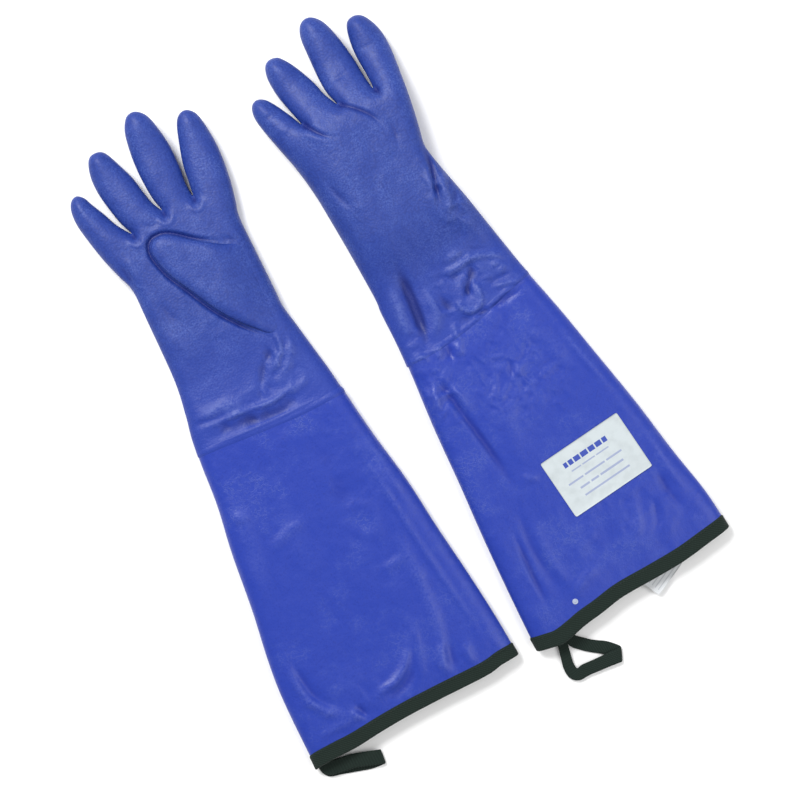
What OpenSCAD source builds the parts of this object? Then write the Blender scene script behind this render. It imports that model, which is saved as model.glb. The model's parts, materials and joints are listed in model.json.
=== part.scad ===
// Pair of elbow-length cryogenic gloves lying flat side by side: the right glove palm up, the
// left glove palm down. Each glove has its own frame: +Y from the cuff to the fingertips, X
// across, z = 0 on the table. Millimetres.

/* [Sleeve] */
// Width of the flattened sleeve at the cuff edge
cuff_w = 218; // [210:1:226]
// Width of the flattened sleeve at the elbow fold
elbow_w = 185; // [178:1:192]
// Width where the sleeve is sewn to the dipped glove
seam_w = 146; // [140:1:152]
// Thickness of the flattened sleeve, both walls and the arm space
sleeve_h = 25; // [24:0.5:28]
// Distance from the cuff edge to the elbow fold
elbow_y = 165; // [150:1:180]
// Distance from the cuff edge to the sewn seam
seam_y = 300; // [290:1:310]

/* [Hand] */
// Width at the wrist crease
wrist_w = 126; // [120:1:132]
// Width across the palm
palm_w = 119; // [114:1:124]
// Width across the knuckles
knuckle_w = 137; // [134:1:142]
// Distance from the cuff edge to the wrist crease
wrist_y = 362; // [355:1:368]
// Thickness of the palm
palm_h = 28; // [27:0.5:30]
// Thickness of the hand at the knuckles
knuckle_h = 32; // [31:0.5:34]
// Thickness of the thumb as it lies flattened on the palm
thumb_h = 17.7; // [17:0.1:19]
// Radius of the thumb tip seen from above
thumb_r = 15; // [14:0.5:16]

/* [Layers] */
// Thickness of the dipped or coated outer shell
shell_t = 2.4; // [2:0.1:2.6]
// Thickness of the waterproof barrier
barrier_t = 0.6; // [0.4:0.1:0.8]
// Thickness of the insulating liner
liner_t = 2.4; // [2:0.1:2.6]
// Thickness of the tape of the binding, the seam band and the loops
tape_t = 1.2; // [1:0.1:1.5]
// Visible width of the cuff binding
binding_w = 12; // [10:0.5:14]
// Width of the band over the sewn seam
band_w = 14; // [10:0.5:18]

/* [Hidden] */
$fn = 48;
gap = 0.25; // between two layers
play = 0.45; // between two pieces that move
far = 300; // longer than any cut needs
SIDES = ["right", "left"];
LAYERS = ["shell", "barrier", "liner"];
// Each finger: name, base x, base y, splay, length from the knuckle, base radius, tip radius.
FINGERS_RIGHT = [
    ["index", 30, 527, -6, 71, 16.4, 11.5],
    ["middle", -7.5, 530, 2, 88, 16.4, 11.5],
    ["ring", -43, 526, 11, 72, 15.6, 11.5],
    ["little", -75, 517, 17, 53, 13.4, 9.5]
];
FINGERS_LEFT = [
    ["index", 31, 519, 0, 71, 16.4, 11.5],
    ["middle", -4.5, 522, 1, 87, 16.4, 11.5],
    ["ring", -39.5, 518, 10, 75, 15.6, 11.5],
    ["little", -71, 510, 14, 56, 13.4, 9.5]
];
FINGER_NAMES = [for (f = FINGERS_RIGHT) f[0]];

// How far the layers reach in from the outside: [start, end].
INSET = [
    [0, shell_t],
    [shell_t + gap, shell_t + gap + barrier_t],
    [shell_t + barrier_t + 2 * gap, shell_t + barrier_t + liner_t + 2 * gap]
];
NOSE = [9, 7, 5]; // how far each hand layer reaches behind the wrist axis
GAUNTLET_SHORT = [9.4, 11.8]; // how far the gauntlet layers stop short of the wrist axis
RAISED_SHORT = [13.5, 15.9]; // the same on the left, where the gauntlet slopes up to the hand
raised_liner_inset = [shell_t + gap + 0.6, shell_t + gap + liner_t];
lining_inset = [shell_t + gap, shell_t + gap + liner_t];
wall = lining_inset[1];
hand_wall = INSET[2][1];

// The outline leans towards the little finger, so each width is placed about its own middle.
cuff_mid = -1;
elbow_mid = -6.5;
seam_mid = -12;
wrist_mid = -16;
palm_mid = -17.5;
knuckle_mid = -20.5;
palm_y = [wrist_y + 14, 470];
knuckle_y = 540;
wrist_r = palm_h / 2 - 0.5;

// Thumb: root line, tip centre and the hole between thumb and palm.
thumb_root_x = 33;
thumb_root = [380, 468];
function thumb_tip(side) = is_right(side) ? [-37, 488] : [-36, 482];
thumb_hole = [[10, 412], [26, 452]];
thumb_corner = 5;

// Label, stud and care tag on the left cuff; the hanging loops.
label_size = [84, 60, 0.8];
label_pos = [26, 113];
label_turn = 4.5;
stud_pos = [-56, 13];
stud_r = 3;
tag_size = [38, 30, 0.6];
tag_pos = [26.3, -0.6];
tag_turn = 24;
loop_w = 13;
loop_long = 58;
loop_high = 9;

function is_right(side) = side == "right";
function fingers(side) = is_right(side) ? FINGERS_RIGHT : FINGERS_LEFT;
// Skew of the cuff edge, rise per width.
function cuff_skew(side) = is_right(side) ? 0.087 : 0.038;
// Height of the underside of the hand: the left hand lies on its own thumb.
function palm_z(side) = is_right(side) ? 0 : thumb_h + play;
function wrist_z(side) = is_right(side) ? 1 : 16;
function knuckle_z(side) = is_right(side) ? 0 : 12;
function thumb_z(side) = is_right(side) ? palm_h + play : 0;
function finger_z(side, f) = knuckle_z(side) + (is_right(side) ? f[5] : f[5] + 0.3);
function wrist_axis_z(side) = wrist_z(side) + wrist_r;

// A station is [y, width, middle x, bottom z, top z, skew].
function sleeve_z() = tape_t;
function station(y, w, mid, z0, h, skew = 0) = [y, w, mid, z0, z0 + h, skew];
function cuff_stations(side) = [
    station(-4, cuff_w, cuff_mid, sleeve_z(), sleeve_h - 2 * tape_t, cuff_skew(side)),
    station(elbow_y - 0.3, elbow_w, elbow_mid, sleeve_z(), sleeve_h - 2 * tape_t)
];
function sleeve_stations() = [
    station(elbow_y + 0.3, elbow_w, elbow_mid, sleeve_z(), sleeve_h - 2 * tape_t),
    station(seam_y - 0.1, seam_w, seam_mid, sleeve_z(), sleeve_h - 2 * tape_t)
];
function gauntlet_short(side) = is_right(side) ? GAUNTLET_SHORT : RAISED_SHORT;
function gauntlet_stations(side, short) =
    let (
        start = station(seam_y + 8, seam_w - 4, seam_mid - 0.5, sleeve_z(), sleeve_h - 2 * tape_t),
        end = station(wrist_y, wrist_w, wrist_mid, wrist_z(side), 2 * wrist_r),
        t = 1 - short / (end[0] - start[0])
    )
    [
        station(seam_y + 0.1, seam_w, seam_mid, sleeve_z(), sleeve_h - 2 * tape_t),
        start,
        start + (end - start) * t
    ];
function hand_stations(side) = [
    station(wrist_y, wrist_w, wrist_mid, wrist_z(side), 2 * wrist_r),
    station(palm_y[0], palm_w, palm_mid, palm_z(side), palm_h),
    station(palm_y[1], palm_w, palm_mid, palm_z(side), palm_h),
    station(fingers(side)[1][2] - 16, knuckle_w - 6, knuckle_mid + 1, palm_z(side), palm_h),
    station(knuckle_y, knuckle_w, knuckle_mid, knuckle_z(side), knuckle_h)
];

// One ring of points round a station: flat top and bottom with round sides, drawn in by inset.
side_steps = 6;
function ring(s, inset, shift = 0) =
    let (r = (s[4] - s[3]) / 2 - inset, z = (s[3] + s[4]) / 2, half = s[1] / 2 - inset - r)
    [for (e = [1, -1], i = [0 : side_steps])
        let (a = e * 90 - i * 180 / side_steps, x = s[2] + e * half + r * cos(a) )
        [x, s[0] + shift + s[5] * x, z + r * sin(a)]];

// Closed solid through a list of stations.
module loft(stations, inset, front = 0, back = 0) {
    last = len(stations) - 1;
    n = 2 * (side_steps + 1);
    rings = [for (k = [0 : last])
        ring(stations[k], inset, k == 0 ? -back : k == last ? front : 0)];
    points = [for (r = rings, p = r) p];
    sides = [for (k = [0 : last - 1], i = [0 : n - 1], half = [0, 1])
        let (a = k * n + i, b = k * n + (i + 1) % n)
        half == 0 ? [a, b + n, b] : [a, a + n, b + n]];
    caps = [for (i = [1 : n - 2], end = [0, 1])
        end == 0 ? [0, i, i + 1] : [last * n, last * n + i + 1, last * n + i]];
    polyhedron(points, concat(sides, caps));
}

// Tube wall between two insets, open at both ends.
module tube(stations, inset) {
    difference() {
        loft(stations, inset[0]);
        loft(stations, inset[1], 1, 1);
    }
}

// ---------------------------------------------------------------- fingers

// Solid finger along +Y from its knuckle at the origin, grown by g; drawn in if g is negative.
module finger_body(f, g) {
    straight = f[4] * 0.55;
    rotate([-90, 0, 0]) {
        sphere(r = f[5] + g);
        cylinder(r = f[5] + g, h = straight);
        translate([0, 0, straight])
            cylinder(r1 = f[5] + g, r2 = f[6] + g, h = f[4] - f[6] - straight);
        translate([0, 0, f[4] - f[6]]) sphere(r = f[6] + g);
    }
}

// The left fingers slope down from the raised knuckles until the tips touch the table.
function droop(side, f) =
    is_right(side) ? 0 : asin((finger_z(side, f) - f[6] - 0.2) / (f[4] - f[6]));

// Puts a finger at its knuckle.
module at_knuckle(side, f) {
    translate([f[1], f[2], finger_z(side, f)])
        rotate([0, 0, f[3]])
            rotate([-droop(side, f), 0, 0]) children();
}

// One layer of a finger: a tube with a ball at the knuckle and a closed tip.
module finger_layer(side, f, inset) {
    at_knuckle(side, f)
        difference() {
            finger_body(f, -inset[0]);
            difference() {
                finger_body(f, -inset[1]);
                rotate([-90, 0, 0]) translate([0, 0, -far]) cylinder(r = far, h = far - 0.1);
            }
            rotate([90, 0, 0]) cylinder(r = f[5] - inset[1], h = far);
        }
}

// Room for one finger in the front of the hand, straight or curled: a strip across X.
module finger_room(side, k) {
    f = fingers(side);
    up = is_right(side) ? 1 : -1;
    r = f[k][5] + play;
    z = finger_z(side, f[k]);
    x0 = k == 3 ? -130 : (f[k][1] + f[k + 1][1]) / 2;
    x1 = k == 0 ? 90 : (f[k][1] + f[k - 1][1]) / 2;
    arc = [for (i = [0 : 8]) [f[k][2] - r * cos(i * 90 / 8), z - up * r * sin(i * 90 / 8)]];
    translate([x0 - 0.01, 0, 0])
        rotate([90, 0, 90])
            linear_extrude(x1 - x0 + 0.02)
                polygon(concat([[f[k][2] - r, z + up * 60]], arc,
                    [[f[k][2], z - up * 60], [640, z - up * 60], [640, z + up * 60]]));
}

// ---------------------------------------------------------------- thumb

// Outline of the thumb lying on the palm, drawn in by g.
module thumb_outline(side, g) {
    hull() {
        translate(thumb_tip(side)) circle(r = thumb_r - g, $fn = 32);
        for (y = [thumb_root[0] + thumb_corner, thumb_root[1] - thumb_corner])
            translate([thumb_root_x - thumb_corner, y])
                circle(r = thumb_corner - min(g, thumb_corner - 1), $fn = 32);
    }
}

module thumb_layer(side, inset) {
    z = thumb_z(side);
    difference() {
        translate([0, 0, z + inset[0]])
            linear_extrude(thumb_h - 2 * inset[0]) thumb_outline(side, inset[0]);
        translate([0, 0, z + inset[1]])
            linear_extrude(thumb_h - 2 * inset[1]) thumb_outline(side, inset[1]);
        thumb_passage(side);
    }
}

// Way between the palm and the thumb.
module thumb_passage(side) {
    middle = is_right(side) ? palm_h : palm_z(side);
    reach = hand_wall + 4;
    translate([thumb_hole[0][0], thumb_hole[0][1], middle - reach])
        cube([thumb_hole[1][0] - thumb_hole[0][0],
              thumb_hole[1][1] - thumb_hole[0][1], 2 * reach]);
}

// ---------------------------------------------------------------- hand

// Round end of the hand at the wrist, centred on the bending axis and open to the forearm.
function nose_stations(side, inset, depth) = [
    for (u = [depth, depth * 0.75, depth * 0.5, depth * 0.25])
        let (r = sqrt(pow(wrist_r - inset, 2) - u * u) + inset)
        [wrist_y - u, wrist_w - 2 * (wrist_r - r), wrist_mid,
         wrist_axis_z(side) - r, wrist_axis_z(side) + r, 0]];

module hand_layer(side, k) {
    difference() {
        loft(concat(nose_stations(side, INSET[k][0], NOSE[k]), hand_stations(side)), INSET[k][0]);
        loft(concat(nose_stations(side, INSET[k][1], NOSE[k]), hand_stations(side)),
            INSET[k][1], 1, 1);
        for (i = [0 : 3]) finger_room(side, i);
        thumb_passage(side);
    }
}

// ---------------------------------------------------------------- forearm

module seam_band() {
    stations = [
        station(seam_y - band_w / 2, seam_w + 3.4, seam_mid + 0.3, sleeve_z(), sleeve_h - 2 * tape_t),
        station(seam_y + band_w / 2, seam_w - 0.4, seam_mid - 0.4, sleeve_z(), sleeve_h - 2 * tape_t)
    ];
    difference() {
        loft(stations, -tape_t);
        loft(stations, -gap / 2, 1, 1);
    }
}

// ---------------------------------------------------------------- cuff

// Station of the cuff at a distance from its raw edge.
function edge_station(side, d) =
    let (s = cuff_stations(side)[0], e = cuff_stations(side)[1], t = d / (e[0] - s[0]))
    [s[0] + d, s[1] + (e[1] - s[1]) * t, s[2] + (e[2] - s[2]) * t, s[3], s[4], s[5] * (1 - t)];

// Folded tape over the raw edge, inside and outside.
module cuff_binding(side) {
    ends = [edge_station(side, -tape_t), edge_station(side, binding_w - tape_t)];
    edge = [edge_station(side, 0), edge_station(side, binding_w)];
    difference() {
        loft(ends, -tape_t);
        loft(ends, wall + tape_t, 1, 1);
        difference() {
            loft(edge, -gap / 2, 1);
            loft(edge, wall + gap / 2, 2, 1);
        }
    }
}

// Root of the hanging loop on the cuff edge: [x, y, z].
function loop_root(side) = is_right(side) ? [-97, -23.5, 0] : [-77, -12, 0];

// Doubled tape lying along the cuff, one end folded round.
module right_loop() {
    r = loop_high / 2;
    root = loop_root("right");
    translate([root[0], root[1], r])
        rotate([0, 0, -12]) rotate([90, 0, 0])
            linear_extrude(loop_w, center = true)
                difference() {
                    union() {
                        translate([0, -r]) square([loop_long - r, loop_high]);
                        translate([loop_long - r, 0]) circle(r = r);
                        translate([-8, -r]) square([8, loop_high]);
                    }
                    union() {
                        translate([2, tape_t + 0.3 - r]) square([loop_long - r - 2, loop_high - 2 * tape_t - 0.6]);
                        translate([loop_long - r, 0]) circle(r = r - tape_t - 0.3);
                    }
                }
}

// Open triangular loop of tape lying on the table.
module left_loop() {
    root = loop_root("left");
    corners = [[0, -3], [35, -41], [-9, -40]];
    translate([root[0], root[1], 0])
        linear_extrude(3)
            difference() {
                hull() for (c = corners) translate(c) circle(r = 6, $fn = 32);
                hull() for (c = corners) translate(c + ([9, -28] - c) * 0.42) circle(r = 1.6, $fn = 24);
            }
}

// Bar of dense stitching across the sewn end of the loop.
module loop_tack(side) {
    root = loop_root(side);
    at = is_right(side) ? [root[0] - 4, root[1] - 4, loop_high] : [root[0] - 3, root[1] - 4, 3];
    size = is_right(side) ? [2, 9, 0.8] : [7, 2, 0.8];
    translate(at + [0, 0, 0.05]) cube(size);
}

module label() {
    top = sleeve_z() + sleeve_h - 2 * tape_t;
    translate([label_pos[0], label_pos[1], top + 0.05 + label_size[2] / 2])
        rotate([0, 0, label_turn]) cube(label_size, center = true);
}

// Small plastic stud through the outer wall.
module stud() {
    top = sleeve_z() + sleeve_h - 2 * tape_t;
    translate([stud_pos[0], stud_pos[1], top + 0.05]) cylinder(r = stud_r, h = 1);
}

module care_tag() {
    floor_z = sleeve_z() + wall + tape_t;
    translate([tag_pos[0], tag_pos[1], floor_z + 0.4 + tag_size[2] / 2])
        rotate([0, 0, tag_turn]) cube(tag_size, center = true);
}

// ---------------------------------------------------------------- colours and placing

module outer_blue() { color([0.25, 0.34, 0.72]) children(); }
module sleeve_blue() { color([0.19, 0.28, 0.74]) children(); }
module dark_tape() { color([0.09, 0.15, 0.12]) children(); }
module pale_layer() { color([0.86, 0.86, 0.82]) children(); }
module film() { color([0.72, 0.78, 0.86]) children(); }

// Where each glove lies: [x, y, turn].
PLACE_RIGHT = [-114.9, -292.5, 0];
PLACE_LEFT = [117.1, -269.5, 5];
module place(side) {
    p = is_right(side) ? PLACE_RIGHT : PLACE_LEFT;
    translate([p[0], p[1], 0]) rotate([0, 0, p[2]]) children();
}

module layer_colour(k) {
    if (k == 0) outer_blue() children();
    if (k == 1) film() children();
    if (k == 2) pale_layer() children();
}

GLOVE_PARTS = [
    "gauntlet_shell", "gauntlet_liner", "sleeve_shell", "sleeve_lining", "cuff_shell",
    "cuff_lining", "seam_band", "cuff_binding", "hanging_loop", "loop_tack"
];

for (s = SIDES, k = [0 : 2]) {
    for (f = fingers(s))
        layer_colour(k) place(s) finger_layer(s, f, INSET[k]);
    layer_colour(k) place(s) hand_layer(s, k);
    layer_colour(k) place(s) thumb_layer(s, INSET[k]);
}
for (s = SIDES) {
    outer_blue() place(s) tube(gauntlet_stations(s, gauntlet_short(s)[0]), INSET[0]);
    pale_layer() place(s)
            tube(gauntlet_stations(s, gauntlet_short(s)[1]), is_right(s) ? lining_inset : raised_liner_inset);
    sleeve_blue() place(s) tube(sleeve_stations(), INSET[0]);
    pale_layer() place(s) tube(sleeve_stations(), lining_inset);
    sleeve_blue() place(s) tube(cuff_stations(s), INSET[0]);
    pale_layer() place(s) tube(cuff_stations(s), lining_inset);
    sleeve_blue() place(s) seam_band();
    dark_tape() place(s) cuff_binding(s);
    union() {
        dark_tape() place(s) {
            if (is_right(s)) right_loop();
            if (!is_right(s)) left_loop();
        }
    }
    dark_tape() place(s) loop_tack(s);
}
color([0.9, 0.92, 0.93]) place("left") label();  // left_label
color([0.75, 0.78, 0.85]) place("left") stud();  // left_stud
color([0.93, 0.93, 0.92]) place("left") care_tag();  // left_care_tag
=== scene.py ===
"""Pair of long cryogenic gloves lying flat: the soft shapes, finishes, floor and light.

Shapes are drawn in each glove's own frame, in millimetres: +Y from the cuff to the fingertips,
X across, z = 0 on the table. GloveFrame turns them into the shared frame, in metres.
"""

import json
import logging
import math
from dataclasses import dataclass
from enum import Enum

import bmesh
import bpy
import numpy as np
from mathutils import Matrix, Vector
from mathutils.geometry import delaunay_2d_cdt


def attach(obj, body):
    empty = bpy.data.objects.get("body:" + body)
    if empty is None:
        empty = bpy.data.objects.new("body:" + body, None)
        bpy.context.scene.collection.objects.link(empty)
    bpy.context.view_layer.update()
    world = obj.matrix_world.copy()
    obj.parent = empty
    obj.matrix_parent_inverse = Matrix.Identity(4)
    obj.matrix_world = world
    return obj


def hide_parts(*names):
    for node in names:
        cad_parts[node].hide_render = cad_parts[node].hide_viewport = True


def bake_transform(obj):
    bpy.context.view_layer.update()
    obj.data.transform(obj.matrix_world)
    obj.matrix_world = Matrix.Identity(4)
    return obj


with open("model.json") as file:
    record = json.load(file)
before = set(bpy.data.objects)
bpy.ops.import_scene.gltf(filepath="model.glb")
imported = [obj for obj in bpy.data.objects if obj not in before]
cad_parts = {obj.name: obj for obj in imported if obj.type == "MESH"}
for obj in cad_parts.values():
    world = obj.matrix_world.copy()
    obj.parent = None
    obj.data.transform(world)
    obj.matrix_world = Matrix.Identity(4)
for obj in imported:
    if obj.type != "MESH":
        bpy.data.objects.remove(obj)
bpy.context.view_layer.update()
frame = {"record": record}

LOG = logging.getLogger("gloves")

# Metres in a millimetre.
MM = 0.001
# Middle of the wrist's hinge, and where the wrist's bend begins and ends.
WRIST_LOCAL = (-16.0, 362.0)
WRIST_BLEND = (341.0, 385.0)
# Nominal seam between the sleeve and the hand.
SEAM_Y = 300.0
# Middle of the sleeve's fold, and how far the cloth takes to turn round it.
FOLD_X = -6.5
FOLD_Y = 165.0
FOLD_SPAN = 36.0
# Y of the thumb's root.
THUMB_Y = 424.0
# Radius of the rounded sides, and depths of the rows of points that follow an outline.
SIDE_ROUND = 15.0
RIM_DEPTHS = (0.3, 1.2, 2.7)
# Distance between the points of a drawn curve.
CURVE_STEP = 4.0
# How much lower the hidden layers lie on top, so that no groove cuts into them.
INNER_DROP = 2.4
# How deep the right thumb's underside sits in the palm at its root.
ROOT_DEPTH = 6.4
# Half thickness of the lying glove, and room below it, at some places along it.
HALF_HEIGHTS = ((0, 30, 165, 300, 362, 400, 520, 620), (7.5, 8.5, 9.5, 11, 11, 12.3, 12.3, 11.5))
FLOOR_GAPS = ((0.0, 320.0, 390.0), (1.8, 1.3, 0.4))
# Small unevenness of the cloth: bump size, height and stretch along the glove.
UNEVENNESS = ((34.0, 0.9, 0.45), (13.0, 0.35, 0.7), (5.5, 0.12, 1.0))
SIDE_WOBBLE = (30.0, 0.5, 0.6)
# How far the right fingertips curl up, and how far its own thumb holds the left hand up.
TIP_LIFT = 4.0
THUMB_BED = 15.5
# First seed of each glove's unevenness, and its fingers' slants from index to little, degrees.
CLOTH_SEEDS = {"right": 3, "left": 11}
FINGER_SLANTS = {"right": (-6, 2, 11, 17), "left": (0, 1, 10, 14)}
# Points measured at a time against a path, to spare memory.
BLOCK = 4000
# Cells along each side of the noise's table.
LATTICE = 32

Point2 = tuple[float, float]
Array = np.ndarray


class Side(Enum):
    """Which hand a glove is for."""

    RIGHT = "right"
    LEFT = "left"


# ---------------------------------------------------------------- small numeric helpers


def smoothstep(low: float, high: float, value: Array) -> Array:
    """Smooth 0 to 1 ramp.

    Args:
        low: Where the ramp starts.
        high: Where the ramp ends; it may be below low.
        value: Positions to read the ramp at.

    Returns:
        The ramp at each position.
    """
    t = np.clip((value - low) / (high - low), 0.0, 1.0)
    return t * t * (3.0 - 2.0 * t)


def between(a: Array, b: Array, c: Array, d: Array, t: float) -> Array:
    """Point of a smooth curve between two of the four points that guide it.

    Args:
        a: Point before the stretch.
        b: Start of the stretch.
        c: End of the stretch.
        d: Point after the stretch.
        t: How far along the stretch, from 0 to 1.

    Returns:
        The point.
    """
    bend = (2 * a - 5 * b + 4 * c - d) * t * t
    return 0.5 * (2 * b + (c - a) * t + bend + (3 * b - a - 3 * c + d) * t**3)


def spline(points: list[Point2] | tuple[Point2, ...], step: float, closed: bool) -> Array:
    """Catmull-Rom curve through points.

    Args:
        points: Points to pass through.
        step: Greatest distance between two returned points.
        closed: Whether the curve returns to its start.

    Returns:
        Points along the curve, n x 2.
    """
    p = np.array(points, float)
    n = len(p)
    out = []
    for i in range(n if closed else n - 1):
        if closed:
            a, b, c, d = p[i - 1], p[i], p[(i + 1) % n], p[(i + 2) % n]
        else:
            a, b, c, d = p[max(i - 1, 0)], p[i], p[i + 1], p[min(i + 2, n - 1)]
        count = max(1, int(math.ceil(np.linalg.norm(c - b) / step)))
        for k in range(count):
            out.append(between(a, b, c, d, k / count))
    if not closed:
        out.append(p[-1])
    return np.array(out)


def nearest_on_path(xy: Array, path: Array, closed: bool) -> tuple[Array, Array, Array]:
    """Nearest point of a path for many points.

    Args:
        xy: Points, n x 2.
        path: Corners of the path, m x 2.
        closed: Whether the last corner joins the first.

    Returns:
        Distance, nearest point and left-hand unit normal of the nearest segment, for each point.
    """
    a = path if closed else path[:-1]
    b = np.roll(path, -1, axis=0) if closed else path[1:]
    ab = b - a
    length2 = np.maximum((ab**2).sum(1), 1e-12)
    normals = np.stack([-ab[:, 1], ab[:, 0]], 1) / np.sqrt(length2)[:, None]
    dist = np.empty(len(xy))
    near = np.empty((len(xy), 2))
    side = np.empty((len(xy), 2))
    for start in range(0, len(xy), BLOCK):
        q = xy[start : start + BLOCK]
        t = np.clip(((q[:, None] - a) * ab).sum(2) / length2, 0.0, 1.0)
        foot = a + t[..., None] * ab
        d2 = ((q[:, None] - foot) ** 2).sum(2)
        best = d2.argmin(1)
        rows = np.arange(len(q))
        dist[start : start + BLOCK] = np.sqrt(d2[rows, best])
        near[start : start + BLOCK] = foot[rows, best]
        side[start : start + BLOCK] = normals[best]
    return dist, near, side


@dataclass(frozen=True)
class Noise:
    """Smooth repeatable noise on a lattice.

    Attributes:
        seed: Picks the pattern.
        size: Width of one bump, mm.
    """

    seed: int
    size: float

    def at(self, xyz: Array) -> Array:
        """Value from -1 to 1 at each point.

        Args:
            xyz: Points, n x 3, mm.

        Returns:
            One value a point.
        """
        table = np.random.default_rng(self.seed).uniform(-1.0, 1.0, (LATTICE,) * 3)
        p = xyz / self.size + 100.0
        cell = np.floor(p).astype(int)
        f = p - cell
        f = f * f * (3.0 - 2.0 * f)
        total = np.zeros(len(p))
        for corner in range(8):
            bits = np.array([corner & 1, corner >> 1 & 1, corner >> 2 & 1])
            i = (cell + bits) % LATTICE
            weight = np.where(bits == 1, f, 1.0 - f).prod(1)
            total += weight * table[i[:, 0], i[:, 1], i[:, 2]]
        return total


@dataclass(frozen=True)
class Fold:
    """A ridge or a groove along a curve on the top of the glove.

    Attributes:
        points: Curve in the glove's frame, mm.
        height: Height of the ridge, mm; negative for a groove.
        width: Half width of the fold, mm.
    """

    points: tuple[Point2, ...]
    height: float
    width: float

    def lift(self, xy: Array) -> Array:
        """Lift at each point, mm.

        Args:
            xy: Points, n x 2.

        Returns:
            One lift a point, fading out at the curve's ends.
        """
        out = np.zeros(len(xy))
        path = spline(self.points, CURVE_STEP, False)
        reach = self.width * 3.5
        near = ((xy > path.min(0) - reach) & (xy < path.max(0) + reach)).all(1)
        if not near.any():
            return out
        dist, foot, _ = nearest_on_path(xy[near], path, False)
        ends = np.minimum(
            np.linalg.norm(foot - path[0], axis=1), np.linalg.norm(foot - path[-1], axis=1)
        )
        span = np.linalg.norm(path[0] - path[-1]) * 0.35 + 1.0
        fade = smoothstep(0.0, span, ends) * 0.85 + 0.15
        out[near] = self.height * fade * np.exp(-((dist / self.width) ** 2))
        return out


@dataclass(frozen=True)
class GloveFrame:
    """Where a glove lies in the shared frame.

    Attributes:
        side: Which glove.
        x: Place of the glove's origin, m.
        y: Place of the glove's origin, m.
        turn: Turn about +Z, radians.
    """

    side: Side
    x: float
    y: float
    turn: float

    @staticmethod
    def find(side: Side) -> "GloveFrame":
        """Frame of a glove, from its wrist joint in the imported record.

        Args:
            side: Which glove.

        Returns:
            The frame.
        """
        joints = {j["name"]: j for j in frame["record"]["behaviour"]["joints"]}
        wrist = joints[f"{side.value}_wrist_bend"]
        sign = 1.0 if side is Side.RIGHT else -1.0
        turn = math.atan2(sign * wrist["axis"][1], sign * wrist["axis"][0])
        wx, wy = WRIST_LOCAL[0] * MM, WRIST_LOCAL[1] * MM
        px, py = wrist["pos_m"][0], wrist["pos_m"][1]
        return GloveFrame(
            side,
            px - (wx * math.cos(turn) - wy * math.sin(turn)),
            py - (wx * math.sin(turn) + wy * math.cos(turn)),
            turn,
        )

    def to_row(self, xyz: Array) -> Array:
        """Turns points of the glove's frame into points of the shared frame.

        Args:
            xyz: Points, mm; the last axis holds x, y and z.

        Returns:
            The same points, m.
        """
        c, s = math.cos(self.turn), math.sin(self.turn)
        p = np.asarray(xyz, float) * MM
        return np.stack(
            [
                self.x + p[..., 0] * c - p[..., 1] * s,
                self.y + p[..., 0] * s + p[..., 1] * c,
                p[..., 2],
            ],
            -1,
        )

    def point(self, x: float, y: float, z: float = 0.0) -> tuple[float, float, float]:
        """One point of the glove's frame as a point of the shared frame.

        Args:
            x: Place across the glove, mm.
            y: Place along it, mm.
            z: Height above the table, mm.

        Returns:
            The point, m.
        """
        row = self.to_row(np.array([x, y, z]))
        return float(row[0]), float(row[1]), float(row[2])

    def body(self, name: str) -> str:
        """Name of one of this glove's CAD bodies."""
        return f"{self.side.value}_{name}"


# ---------------------------------------------------------------- finishes


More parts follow.
